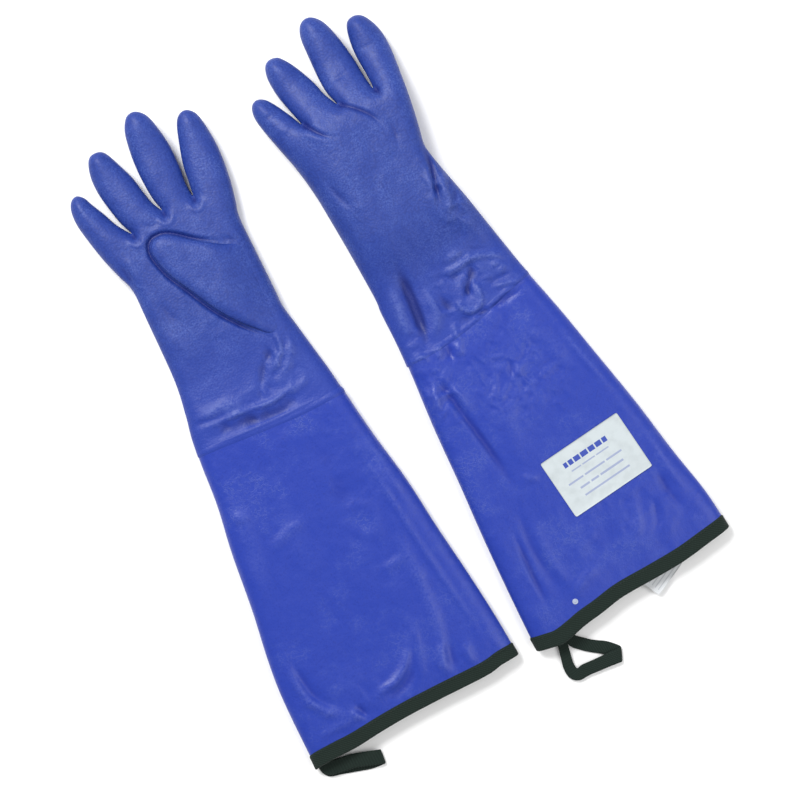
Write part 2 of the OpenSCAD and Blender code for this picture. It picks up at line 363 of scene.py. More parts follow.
class Shader:
    """A node tree being wired for one finish."""

    def __init__(self, name: str) -> None:
        """Starts a material with one principled shader.

        Args:
            name: Name of the material.
        """
        self.material = bpy.data.materials.new(name)
        self.material.use_nodes = True
        self.tree = self.material.node_tree
        self.tree.nodes.clear()
        self.out = self.tree.nodes.new("ShaderNodeOutputMaterial")
        self.skin = self.tree.nodes.new("ShaderNodeBsdfPrincipled")
        self.tree.links.new(self.skin.outputs[0], self.out.inputs[0])
        self.coords = self.tree.nodes.new("ShaderNodeTexCoord")

    def node(self, kind: str, **values: object) -> bpy.types.Node:
        """Adds a node.

        Args:
            kind: Node type without its prefix.
            values: Attributes, or input sockets by their name with spaces as underscores.

        Returns:
            The node.
        """
        made = self.tree.nodes.new("ShaderNode" + kind)
        for key, value in values.items():
            if hasattr(made, key):
                setattr(made, key, value)
            else:
                made.inputs[key.replace("_", " ")].default_value = value
        return made

    def link(self, a: bpy.types.NodeSocket, b: bpy.types.NodeSocket) -> None:
        """Joins an output to an input."""
        self.tree.links.new(a, b)

    def noise(self, size_mm: float, detail: float = 3.0, rough: float = 0.5) -> bpy.types.NodeSocket:
        """Noise with bumps of a size, in object coordinates.

        Args:
            size_mm: Size of the bumps.
            detail: How many finer layers it has.
            rough: Strength of the finer layers, from 0 to 1.

        Returns:
            The noise, from 0 to 1.
        """
        made = self.node("TexNoise", Scale=1.0 / (size_mm * MM), Detail=detail, Roughness=rough)
        self.link(self.coords.outputs["Object"], made.inputs["Vector"])
        return made.outputs["Fac"]

    def cells(self, size_mm: float, smooth: float = 0.6) -> bpy.types.NodeSocket:
        """Distance to the middle of the nearest cell, for pebbles.

        Args:
            size_mm: Size of the cells.
            smooth: How much the cells melt together.

        Returns:
            The distance.
        """
        made = self.node("TexVoronoi", feature="SMOOTH_F1", Scale=1.0 / (size_mm * MM))
        made.inputs["Smoothness"].default_value = smooth
        self.link(self.coords.outputs["Object"], made.inputs["Vector"])
        return made.outputs["Distance"]

    def paint_fold_shade_and_sheen(
        self, colour: bpy.types.NodeSocket, hollow_shade: tuple[float, ...], crest_sheen: tuple[float, ...]
    ) -> bpy.types.NodeSocket:
        """Paints shade into a colour in the folds' hollows, and a pale sheen, in specks, on their crests.

        Args:
            colour: Colour of the flat cloth.
            hollow_shade: Painted shade for the deepest hollows.
            crest_sheen: Painted sheen for the highest crests.

        Returns:
            The colour with its folds.
        """
        relief = self.node("Attribute", attribute_name="relief").outputs["Fac"]
        # Painted shade: darker where the relief sinks into a fold's groove.
        colour = self.blend(self.math("MULTIPLY", self.ramp(relief, -0.4, -2.3), 0.95), colour, hollow_shade)
        # Painted sheen: paler, in specks, where the relief rises on a ridge.
        specks = self.ramp(self.noise(2.4, 4.0, 0.7), 0.36, 0.62)
        rubbed_and_sheen = self.math("MULTIPLY", self.ramp(relief, 0.3, 2.8), specks)
        return self.blend(self.math("MULTIPLY", rubbed_and_sheen, 0.75), colour, crest_sheen)

    def vary_roughness(self, size_mm: float, smooth: float, rough: float) -> None:
        """Lets the roughness drift between two values over patches.

        Args:
            size_mm: Size of the patches.
            smooth: Lowest roughness.
            rough: Highest roughness.
        """
        made = self.node("MapRange")
        made.inputs["To Min"].default_value = smooth
        made.inputs["To Max"].default_value = rough
        self.link(self.noise(size_mm, 4.0), made.inputs["Value"])
        self.link(made.outputs["Result"], self.skin.inputs["Roughness"])

    def ramp(self, fac: bpy.types.NodeSocket, low: float, high: float) -> bpy.types.NodeSocket:
        """Stretches a value so that low gives 0 and high gives 1.

        Args:
            fac: The value.
            low: What gives 0.
            high: What gives 1; it may be below low.

        Returns:
            The stretched value.
        """
        made = self.node("MapRange", clamp=True)
        made.inputs["From Min"].default_value = low
        made.inputs["From Max"].default_value = high
        self.link(fac, made.inputs["Value"])
        return made.outputs["Result"]

    def blend(
        self, fac: bpy.types.NodeSocket, a: tuple[float, ...] | bpy.types.NodeSocket, b: tuple[float, ...]
    ) -> bpy.types.NodeSocket:
        """Colour that goes from a to b as fac goes from 0 to 1.

        Args:
            fac: How far to go.
            a: Colour at 0.
            b: Colour at 1.

        Returns:
            The colour.
        """
        made = self.node("Mix", data_type="RGBA")
        self.link(fac, made.inputs["Factor"])
        if isinstance(a, tuple):
            made.inputs[6].default_value = (*a, 1.0)
        else:
            self.link(a, made.inputs[6])
        made.inputs[7].default_value = (*b, 1.0)
        return made.outputs[2]

    def math(
        self, how: str, a: bpy.types.NodeSocket | float, b: bpy.types.NodeSocket | float = 0.0
    ) -> bpy.types.NodeSocket:
        """Result of one arithmetic step.

        Args:
            how: Name of the step.
            a: First value.
            b: Second value, where it has one.

        Returns:
            The result.
        """
        made = self.node("Math", operation=how)
        for socket, value in ((made.inputs[0], a), (made.inputs[1], b)):
            if isinstance(value, (int, float)):
                socket.default_value = value
            else:
                self.link(value, socket)
        return made.outputs[0]

    def bump(self, height: bpy.types.NodeSocket, depth_mm: float, strength: float = 1.0) -> None:
        """Adds a bump below any that is there already.

        Args:
            height: Height of the surface.
            depth_mm: Depth of the bump.
            strength: How strongly it shows.
        """
        made = self.node("Bump", Strength=strength, Distance=depth_mm * MM)
        self.link(height, made.inputs["Height"])
        old = self.skin.inputs["Normal"].links
        if old:
            self.link(old[0].from_socket, made.inputs["Normal"])
        self.link(made.outputs["Normal"], self.skin.inputs["Normal"])

    def set(self, **values: object) -> None:
        """Sets sockets of the principled shader.

        Args:
            values: Values by the socket's name, with spaces as underscores.
        """
        for key, value in values.items():
            self.skin.inputs[key.replace("_", " ")].default_value = value


@dataclass(frozen=True)
class DippedRubber:
    """Matte dipped rubber with a pebbled, finely mottled skin.

    Attributes:
        base: Main colour.
        dark: Colour in the hollows.
        pale: Colour of the worn spots.
        wrist: Colour near the sleeve, where the skin is thinner.
        hollow_shade: Painted shade at the bottom of the folds.
        crest_sheen: Painted sheen, in specks, on top of the folds.
        pebble_mm: Size of the pebbles.
    """

    base: tuple[float, float, float] = (0.0155, 0.0426, 0.258)
    dark: tuple[float, float, float] = (0.0106, 0.0311, 0.208)
    pale: tuple[float, float, float] = (0.036, 0.072, 0.307)
    wrist: tuple[float, float, float] = (0.0114, 0.0352, 0.303)
    # Painted shade for the folds' hollows, and painted sheen for their crests.
    hollow_shade: tuple[float, float, float] = (0.0035, 0.0135, 0.15)
    crest_sheen: tuple[float, float, float] = (0.0737, 0.111, 0.368)
    pebble_mm: float = 1.9

    def build(self) -> bpy.types.Material:
        """Makes the material.

        Returns:
            The material.
        """
        s = Shader("dipped_rubber")
        pebbles = s.cells(self.pebble_mm)
        fine = s.noise(0.55, 2.0)
        patches = s.noise(26.0, 4.0, 0.6)
        specks = s.noise(1.6, 4.0, 0.7)
        colour = s.blend(s.ramp(pebbles, 0.25, 0.75), self.base, self.dark)
        rubbed_and_sheen = s.math("MULTIPLY", s.ramp(patches, 0.42, 0.6), s.ramp(specks, 0.47, 0.6))
        colour = s.blend(rubbed_and_sheen, colour, self.pale)
        split = s.node("SeparateXYZ")
        s.link(s.coords.outputs["Object"], split.inputs[0])
        sleeve_end = s.ramp(split.outputs[1], 0.13, 0.0)
        colour = s.blend(s.math("MULTIPLY", sleeve_end, 0.85), colour, self.wrist)
        # Painted shade in the folds' hollows and painted sheen on their crests, from the relief.
        colour = s.paint_fold_shade_and_sheen(colour, self.hollow_shade, self.crest_sheen)
        s.link(colour, s.skin.inputs["Base Color"])
        s.vary_roughness(7.0, 0.4, 0.62)
        s.bump(s.noise(5.0, 3.0), 0.5, 0.5)
        s.bump(pebbles, 0.35, 0.55)
        s.bump(fine, 0.12, 0.5)
        s.set(Coat_Weight=0.06, Coat_Roughness=0.4, Specular_IOR_Level=0.33)
        return s.material


@dataclass(frozen=True)
class CoatedCloth:
    """Satin rubber-coated cloth with a faint leathery grain.

    Attributes:
        base: Main colour.
        dark: Colour in the hollows of the grain.
        pale: Colour of the worn patches.
        scuff: Colour of the fine creases in the worn patches.
        hollow_shade: Painted shade at the bottom of the folds.
        crest_sheen: Painted sheen, in specks, on top of the folds.
    """

    base: tuple[float, float, float] = (0.00986, 0.0336, 0.315)
    dark: tuple[float, float, float] = (0.00655, 0.0254, 0.262)
    pale: tuple[float, float, float] = (0.018, 0.0458, 0.336)
    scuff: tuple[float, float, float] = (0.0426, 0.0753, 0.352)
    # Painted shade for the folds' hollows, and painted sheen for their crests.
    hollow_shade: tuple[float, float, float] = (0.00409, 0.018, 0.237)
    crest_sheen: tuple[float, float, float] = (0.0614, 0.0939, 0.385)

    def build(self) -> bpy.types.Material:
        """Makes the material.

        Returns:
            The material.
        """
        s = Shader("coated_cloth")
        grain = s.noise(1.7, 4.0, 0.62)
        patches = s.noise(38.0, 4.0, 0.6)
        veins = s.math("ABSOLUTE", s.math("SUBTRACT", s.noise(5.0, 4.0, 0.6), 0.5))
        worn = s.math("MULTIPLY", s.ramp(patches, 0.5, 0.72), s.ramp(veins, 0.05, 0.0))
        colour = s.blend(s.ramp(grain, 0.5, 0.72), self.base, self.dark)
        colour = s.blend(s.ramp(patches, 0.5, 0.85), colour, self.pale)
        colour = s.blend(s.math("MULTIPLY", worn, 0.6), colour, self.scuff)
        # Painted shade in the folds' hollows and painted sheen on their crests, from the relief.
        colour = s.paint_fold_shade_and_sheen(colour, self.hollow_shade, self.crest_sheen)
        s.link(colour, s.skin.inputs["Base Color"])
        s.vary_roughness(12.0, 0.3, 0.5)
        s.bump(s.noise(8.0, 3.0), 0.8, 0.6)
        s.bump(worn, 0.3, 0.6)
        s.bump(grain, 0.32, 0.55)
        s.bump(s.noise(0.5, 2.0), 0.06, 0.4)
        s.set(Coat_Weight=0.1, Coat_Roughness=0.3, Specular_IOR_Level=0.36)
        return s.material


@dataclass(frozen=True)
class WovenTape:
    """Dark ribbed bias tape.

    Attributes:
        base: Colour of the threads.
        worn: Colour of the raised threads.
        rib_mm: Spacing of the ribs.
    """

    base: tuple[float, float, float] = (0.004, 0.0105, 0.008)
    worn: tuple[float, float, float] = (0.014, 0.029, 0.022)
    rib_mm: float = 1.1

    def build(self) -> bpy.types.Material:
        """Makes the material.

        Returns:
            The material.
        """
        s = Shader("woven_tape")
        uv = s.coords.outputs["UV"]
        waves = []
        for direction, scale in (("X", 1.0), ("DIAGONAL", 0.8)):
            wave = s.node("TexWave", bands_direction=direction, Scale=scale / self.rib_mm * 0.32)
            wave.inputs["Distortion"].default_value = 0.6
            s.link(uv, wave.inputs["Vector"])
            waves.append(wave.outputs["Fac"])
        weave = s.math("MULTIPLY", waves[0], waves[1])
        fuzz = s.noise(0.35, 3.0)
        colour = s.blend(s.ramp(weave, 0.1, 0.8), self.base, self.worn)
        s.link(colour, s.skin.inputs["Base Color"])
        s.bump(weave, 0.25, 0.7)
        s.bump(fuzz, 0.12, 0.6)
        s.set(Roughness=0.8, Sheen_Weight=0.08, Sheen_Roughness=0.4, Specular_IOR_Level=0.25)
        return s.material


@dataclass(frozen=True)
class Fleece:
    """Soft pale cloth of the lining and the insulation.

    Attributes:
        name: Name of the material.
        base: Main colour.
        shade: Colour between the tufts.
    """

    name: str
    base: tuple[float, float, float]
    shade: tuple[float, float, float]

    def build(self) -> bpy.types.Material:
        """Makes the material.

        Returns:
            The material.
        """
        s = Shader(self.name)
        tufts = s.noise(1.3, 5.0, 0.7)
        colour = s.blend(s.ramp(tufts, 0.4, 0.65), self.shade, self.base)
        s.link(colour, s.skin.inputs["Base Color"])
        s.bump(tufts, 0.6, 0.8)
        s.set(Roughness=0.92, Sheen_Weight=0.5, Sheen_Roughness=0.5)
        return s.material


@dataclass(frozen=True)
class Film:
    """Milky waterproof film of the barrier layer.

    Attributes:
        tint: Main colour.
        cloud: Colour of the milky patches.
    """

    tint: tuple[float, float, float] = (0.5, 0.58, 0.72)
    cloud: tuple[float, float, float] = (0.62, 0.68, 0.78)

    def build(self) -> bpy.types.Material:
        """Makes the material.

        Returns:
            The material.
        """
        s = Shader("barrier_film")
        patches = s.noise(6.0, 3.0)
        s.link(s.blend(patches, self.tint, self.cloud), s.skin.inputs["Base Color"])
        s.bump(patches, 0.3, 0.5)
        s.set(Roughness=0.3, Coat_Weight=0.3, Coat_Roughness=0.2)
        return s.material


@dataclass(frozen=True)
class Print:
    """Satin ribbon with printed bars that stand for lines of writing.

    Attributes:
        name: Name of the material.
        paper: Colour of the ribbon.
        bars: Each bar's left, bottom, right and top in UV, and its colour.
    """

    name: str
    paper: tuple[float, float, float]
    bars: tuple[tuple[float, float, float, float, tuple[float, float, float]], ...]

    def build(self) -> bpy.types.Material:
        """Makes the material.

        Returns:
            The material.
        """
        s = Shader(self.name)
        split = s.node("SeparateXYZ")
        s.link(s.coords.outputs["UV"], split.inputs[0])
        threads = s.noise(0.45, 3.0)
        cloud = s.noise(9.0, 3.0)
        shade = tuple(0.86 * c for c in self.paper)
        colour = s.blend(s.ramp(cloud, 0.45, 0.8), self.paper, shade)
        for left, bottom, right, top, ink in self.bars:
            masks = []
            for axis, low, high in ((0, left, right), (1, bottom, top)):
                away = s.math("ABSOLUTE", s.math("SUBTRACT", split.outputs[axis], (low + high) / 2))
                masks.append(s.math("LESS_THAN", away, (high - low) / 2))
            colour = s.blend(s.math("MULTIPLY", masks[0], masks[1]), colour, ink)
        s.link(colour, s.skin.inputs["Base Color"])
        s.bump(threads, 0.08, 0.6)
        s.set(Roughness=0.55, Sheen_Weight=0.15)
        return s.material


@dataclass(frozen=True)
class Plain:
    """Plain moulded or sewn stuff with a little grain.

    Attributes:
        name: Name of the material.
        base: Main colour.
        roughness: Surface roughness.
        grain_mm: Size of the grain.
    """

    name: str
    base: tuple[float, float, float]
    roughness: float
    grain_mm: float

    def build(self) -> bpy.types.Material:
        """Makes the material.

        Returns:
            The material.
        """
        s = Shader(self.name)
        grain = s.noise(self.grain_mm, 3.0)
        shade = tuple(0.8 * c for c in self.base)
        s.link(s.blend(s.ramp(grain, 0.4, 0.7), self.base, shade), s.skin.inputs["Base Color"])
        s.bump(grain, 0.1, 0.5)
        s.set(Roughness=self.roughness)
        return s.material


class Finishes:
    """Every finish, each made once."""

    def __init__(self) -> None:
        """Builds the materials."""
        ink = (0.02, 0.05, 0.32)
        grey = (0.27, 0.31, 0.45)
        self.dipped = DippedRubber().build()
        self.coated = CoatedCloth().build()
        self.tape = WovenTape().build()
        self.fleece = Fleece("insulation_fleece", (0.8, 0.8, 0.76), (0.6, 0.6, 0.57)).build()
        self.lining = Fleece("quilted_lining", (0.74, 0.76, 0.78), (0.5, 0.52, 0.55)).build()
        self.film = Film().build()
        # Each line's bottom, height, the ends of its bars, the space between them and their colour.
        lines = (
            (0.72, 0.085, (0.2, 0.26, 0.33, 0.42, 0.52, 0.61, 0.7, 0.77), 0.016, ink),
            (0.62, 0.022, (0.24, 0.38, 0.56, 0.74), 0.018, grey),
            (0.46, 0.03, (0.13, 0.34, 0.62, 0.84), 0.022, grey),
            (0.32, 0.034, (0.22, 0.36, 0.48, 0.8), 0.022, grey),
            (0.19, 0.03, (0.22, 0.8), 0.0, grey),
        )
        bars = tuple(
            (left, y, right - space, y + tall, colour)
            for y, tall, breaks, space, colour in lines
            for left, right in zip(breaks[:-1], breaks[1:])
        )
        self.label = Print("label_print", (0.48, 0.53, 0.55), bars).build()
        pale_ink = (0.45, 0.47, 0.5)
        tag_bars = tuple(
            (0.1, y, 0.9 - 0.2 * (i % 2), y + 0.035, pale_ink)
            for i, y in enumerate((0.1, 0.22, 0.34, 0.46, 0.58))
        )
        self.tag = Print("care_tag_print", (0.62, 0.64, 0.66), tag_bars).build()
        self.stud = Plain("stud_plastic", (0.36, 0.41, 0.54), 0.3, 0.6).build()
        self.thread = Plain("dark_thread", (0.01, 0.018, 0.015), 0.75, 0.3).build()


# ---------------------------------------------------------------- mesh helpers


def mesh_object(
    name: str, points: Array, faces: list[tuple[int, ...]] | Array, material: bpy.types.Material
) -> bpy.types.Object:
    """Makes a smooth-shaded mesh object and reports it.

    Args:
        name: Name of the piece.
        points: Corners in the shared frame, m.
        faces: Corner numbers of each face.
        material: Its finish.

    Returns:
        The object, linked to the scene.
    """
    mesh = bpy.data.meshes.new(name)
    mesh.from_pydata(np.asarray(points).tolist(), [], [tuple(map(int, f)) for f in faces])
    mesh.validate()
    mesh.materials.append(material)
    mesh.polygons.foreach_set("use_smooth", [True] * len(mesh.polygons))
    obj = bpy.data.objects.new(name, mesh)
    bpy.context.scene.collection.objects.link(obj)
    LOG.info("%s: %d faces", name, len(mesh.polygons))
    return obj


def grid_faces(rows: int, columns: int, closed: bool) -> Array:
    """Quads of a grid of points.

    Args:
        rows: Number of rows.
        columns: Points in a row.
        closed: Whether each row is a closed ring.

    Returns:
        Corner numbers, n x 4.
    """
    last = columns if closed else columns - 1
    r, c = np.meshgrid(np.arange(rows - 1), np.arange(last), indexing="ij")
    n = (c + 1) % columns
    low, high = r * columns, (r + 1) * columns
    quads = np.stack([low + c, low + n, high + n, high + c], -1)
    return quads.reshape(-1, 4)


def point_normals(points: Array, faces: Array) -> Array:
    """Unit normal of each point of a mesh.

    Args:
        points: Points, n x 3.
        faces: Triangles or quads.

    Returns:
        Normals, n x 3.
    """
    p = points[faces]
    cross = np.cross(p[:, 2] - p[:, 0], p[:, -1] - p[:, 1])
    if faces.shape[1] == 3:
        cross = np.cross(p[:, 1] - p[:, 0], p[:, 2] - p[:, 0])
    out = np.zeros_like(points)
    for k in range(faces.shape[1]):
        for axis in range(3):
            out[:, axis] += np.bincount(faces[:, k], cross[:, axis], len(points))
    return out / np.maximum(np.linalg.norm(out, axis=1), 1e-12)[:, None]


def inward(edge: Array) -> Array:
    """Unit normals of a closed outline, towards its inside.

    Args:
        edge: Corners, anticlockwise, n x 2.

    Returns:
        Normals, n x 2.
    """
    forward = np.roll(edge, -1, axis=0) - np.roll(edge, 1, axis=0)
    return np.stack([-forward[:, 1], forward[:, 0]], 1) / np.linalg.norm(forward, axis=1)[:, None]


def inside(xy: Array, path: Array) -> Array:
    """Whether each point lies inside a closed path.

    Args:
        xy: Points, n x 2.
        path: Corners of the path, m x 2.

    Returns:
        One truth value a point.
    """
    a, b = path, np.roll(path, -1, axis=0)
    out = np.zeros(len(xy), bool)
    for start in range(0, len(xy), BLOCK):
        x, y = xy[start : start + BLOCK, :1], xy[start : start + BLOCK, 1:]
        crosses = (a[:, 1] > y) != (b[:, 1] > y)
        rise = np.where(b[:, 1] == a[:, 1], 1.0, b[:, 1] - a[:, 1])
        at = a[:, 0] + (y - a[:, 1]) / rise * (b[:, 0] - a[:, 0])
        out[start : start + BLOCK] = (crosses & (x < at)).sum(1) % 2 == 1
    return out


@dataclass
class Plan:
    """Flat triangle mesh of an outline, used for the top and the bottom of a soft shape.

    Attributes:
        xy: Points in plan, mm; the bottom's points follow the top's.
        depth: How far inside the outline each point is, mm.
        above: 1 for the top's points, -1 for the bottom's and 0 on the rim.
        faces: Triangles.
    """

    xy: Array
    depth: Array
    above: Array
    faces: Array

    @staticmethod
    def cut(edge: Array, step: float, ring_depths: tuple[float, ...]) -> "Plan":
        """Cuts the mesh.

        Args:
            edge: Closed outline, anticlockwise, mm.
            step: Distance between points, mm.
            ring_depths: Depths of the rows of points that follow the outline, mm.

        Returns:
            The mesh.
        """
        normals = inward(edge)
        chosen = [edge]
        for depth in ring_depths:
            ring = edge + normals * depth
            ring = ring[inside(ring, edge)]
            chosen.append(ring[nearest_on_path(ring, edge, True)[0] > 0.9 * depth])
        low, high = edge.min(0), edge.max(0)
        columns = np.arange(low[0], high[0], step)
        lines = np.arange(low[1], high[1], step * math.sqrt(0.75))
        x, y = np.meshgrid(columns, lines)
        x = x + (np.arange(len(lines)) % 2)[:, None] * step / 2
        lattice = np.column_stack([x.reshape(-1), y.reshape(-1)])
        lattice = lattice[inside(lattice, edge)]
        chosen.append(lattice[nearest_on_path(lattice, edge, True)[0] > ring_depths[-1] + 0.6 * step])
        points = [Vector(p) for p in np.concatenate(chosen).tolist()]
        made = delaunay_2d_cdt(points, [], [list(range(len(edge)))], 1, 1e-5)
        xy = np.array([tuple(p) for p in made[0]])
        faces = np.array([tuple(f) for f in made[2]])
        rim = np.array([any(0 <= k < len(edge) for k in ids) for ids in made[3]])
        depth = np.where(rim, 0.0, nearest_on_path(xy, edge, True)[0])
        below = np.arange(len(xy))
        below[~rim] = len(xy) + np.arange((~rim).sum())
        return Plan(
            np.concatenate([xy, xy[~rim]]),
            np.concatenate([depth, depth[~rim]]),
            np.concatenate([np.where(rim, 0.0, 1.0), -np.ones((~rim).sum())]),
            np.concatenate([faces, below[faces[:, ::-1]]]),
        )

    def facing(self, rounding: float) -> Array:
        """How far each point faces up or down.

        Args:
            rounding: Radius of the rounded sides, mm.

        Returns:
            Sine of the side's angle: 0 on the rim, 1 on the top and -1 on the bottom.
        """
        sunk = 1.0 - np.clip(self.depth / rounding, 0.0, 1.0)
        return self.above * np.sqrt(1.0 - sunk**2)


def relax(points: Array, faces: Array, rounds: int, free: Array, amount: float = 0.5) -> Array:
    """Evens out a mesh by moving each point towards its neighbours' middle.

    Args:
        points: Points, n x 3.
        faces: Triangles or quads.
        rounds: How many times.
        free: How freely each point moves, from 0 to 1.
        amount: How far to move each time, from 0 to 1.

    Returns:
        The moved points.
    """
    a = faces.T.reshape(-1)
    b = np.roll(faces, -1, axis=1).T.reshape(-1)
    count = np.bincount(np.concatenate([a, b]), minlength=len(points)).astype(float)[:, None]
    count = np.maximum(count, 1.0)
    out = points.copy()
    for _ in range(rounds):
        total = np.zeros_like(out)
        for axis in range(3):
            total[:, axis] = np.bincount(a, out[b, axis], len(out)) + np.bincount(
                b, out[a, axis], len(out)
            )
        out += (total / count - out) * amount * free[:, None]
    return out


# ---------------------------------------------------------------- patterns of the two gloves


@dataclass(frozen=True)
class ThumbPattern:
    """A thumb that lies flattened against the palm.

    Attributes:
        outline: Its edge seen from above, anticlockwise, mm.
        root_x: Where it leaves the palm.
        free_x: Where it is clear of the palm.
        height: How far it stands out, mm.
        rounding: Radius of its rounded sides, mm.
    """

    outline: tuple[Point2, ...]
    root_x: float
    free_x: float
    height: float
    rounding: float


@dataclass(frozen=True)
class Crumple:
    """A zone of sharp random creases.

    Attributes:
        middle: Centre, mm.
        reach: Half width and half height of the zone, mm.
        height: Height of the creases, mm.
        size: Distance between creases, mm.
        seed: Picks the pattern.
    """

    middle: Point2
    reach: Point2
    height: float
    size: float
    seed: int

    def lift(self, xy: Array) -> Array:
        """Lift at each point.

        Args:
            xy: Points, n x 2.

        Returns:
            One lift a point, mm.
        """
        away = np.linalg.norm((xy - np.array(self.middle)) / np.array(self.reach), axis=1)
        mask = 1.0 - smoothstep(0.35, 1.0, away)
        out = np.zeros(len(xy))
        near = mask > 0
        flat = np.column_stack([xy[near], np.zeros(near.sum())])
        warp = np.column_stack([
            Noise(self.seed + 1, self.size * 1.6).at(flat), Noise(self.seed + 2, self.size * 1.6).at(flat),
            np.zeros(near.sum())])
        broad = 1.0 - 2.0 * np.abs(Noise(self.seed, self.size).at(flat + warp * self.size * 0.5))
        tight = Noise(self.seed + 3, self.size * 0.45)
        narrow = 1.0 - 2.0 * np.abs(tight.at(flat + warp * self.size * 0.3))
        out[near] = self.height * mask[near] * (0.75 * broad + 0.25 * narrow)
        return out


@dataclass(frozen=True)
class GlovePattern:
    """Everything that is drawn for one glove, in its own frame, mm.

    Attributes:
        side: Which glove.
        right_edge: Sleeve edge on +X, from the cuff to the seam.
        left_edge: Sleeve edge on -X, from the cuff to the seam.
        cuff: Cuff edge, from -X to +X.
        seam: Seam between the sleeve and the hand, from -X to +X.
        crumples: Zones where the cloth is crumpled.
        hand: Closed outline of the hand, from behind the seam and round the fingers.
        gaps: Line along each gap between two fingers, index side first.
        cuts: Start of each finger's own piece, index first.
        thumb: The thumb.
        folds: Folds of the sleeve and the hand.
    """

    side: Side
    right_edge: tuple[Point2, ...]
    left_edge: tuple[Point2, ...]
    cuff: tuple[Point2, ...]
    hand: tuple[Point2, ...]
    gaps: tuple[tuple[Point2, ...], ...]
    cuts: tuple[Point2, ...]
    thumb: ThumbPattern
    folds: tuple[Fold, ...]
    seam: tuple[Point2, ...]
    crumples: tuple["Crumple", ...]

    def seam_at(self, x: Array) -> Array:
        """Where the seam is at each x."""
        path = spline(self.seam, CURVE_STEP, False)
        return np.interp(x, path[:, 0], path[:, 1])

    def cuff_at(self, x: Array) -> Array:
        """Where the cuff edge is at each x."""
        path = spline(self.cuff, CURVE_STEP, False)
        return np.interp(x, path[:, 0], path[:, 1]) + 1.0

    def edges(self, y: Array) -> tuple[Array, Array]:
        """Sleeve edges on -X and +X.

        Args:
            y: Places along the glove, mm.

        Returns:
            Both edges' x at each y.
        """
        made = []
        for edge in (self.left_edge, self.right_edge):
            path = spline(edge, CURVE_STEP, False)
            made.append(np.interp(y, path[:, 1], path[:, 0]))
        return made[0], made[1]

    def half_height(self, y: Array) -> Array:
        """Half thickness of the lying glove at each y."""
        return np.interp(y, *HALF_HEIGHTS)

    @staticmethod
    def gap(y: Array) -> Array:
        """Room under the glove: the sleeve lies on its binding."""
        return np.interp(y, *FLOOR_GAPS)

    def lift(self, x: Array, y: Array) -> Array:
        """How far the glove is held off the table: the left hand lies on its own thumb.

        Args:
            x: Places across the glove, mm.
            y: Places along it, mm.

        Returns:
            One lift a place, mm.
        """
        if self.side is Side.RIGHT:
            return TIP_LIFT * smoothstep(565.0, 620.0, y)
        along = smoothstep(335.0, 398.0, y) * (1.0 - smoothstep(498.0, 565.0, y))
        return THUMB_BED * along * (0.25 + 0.75 * smoothstep(-88.0, -42.0, x))

    def middle(self, x: Array, y: Array) -> Array:
        """Height of the middle of the glove."""
        return self.half_height(y) + self.gap(y) + self.lift(x, y)


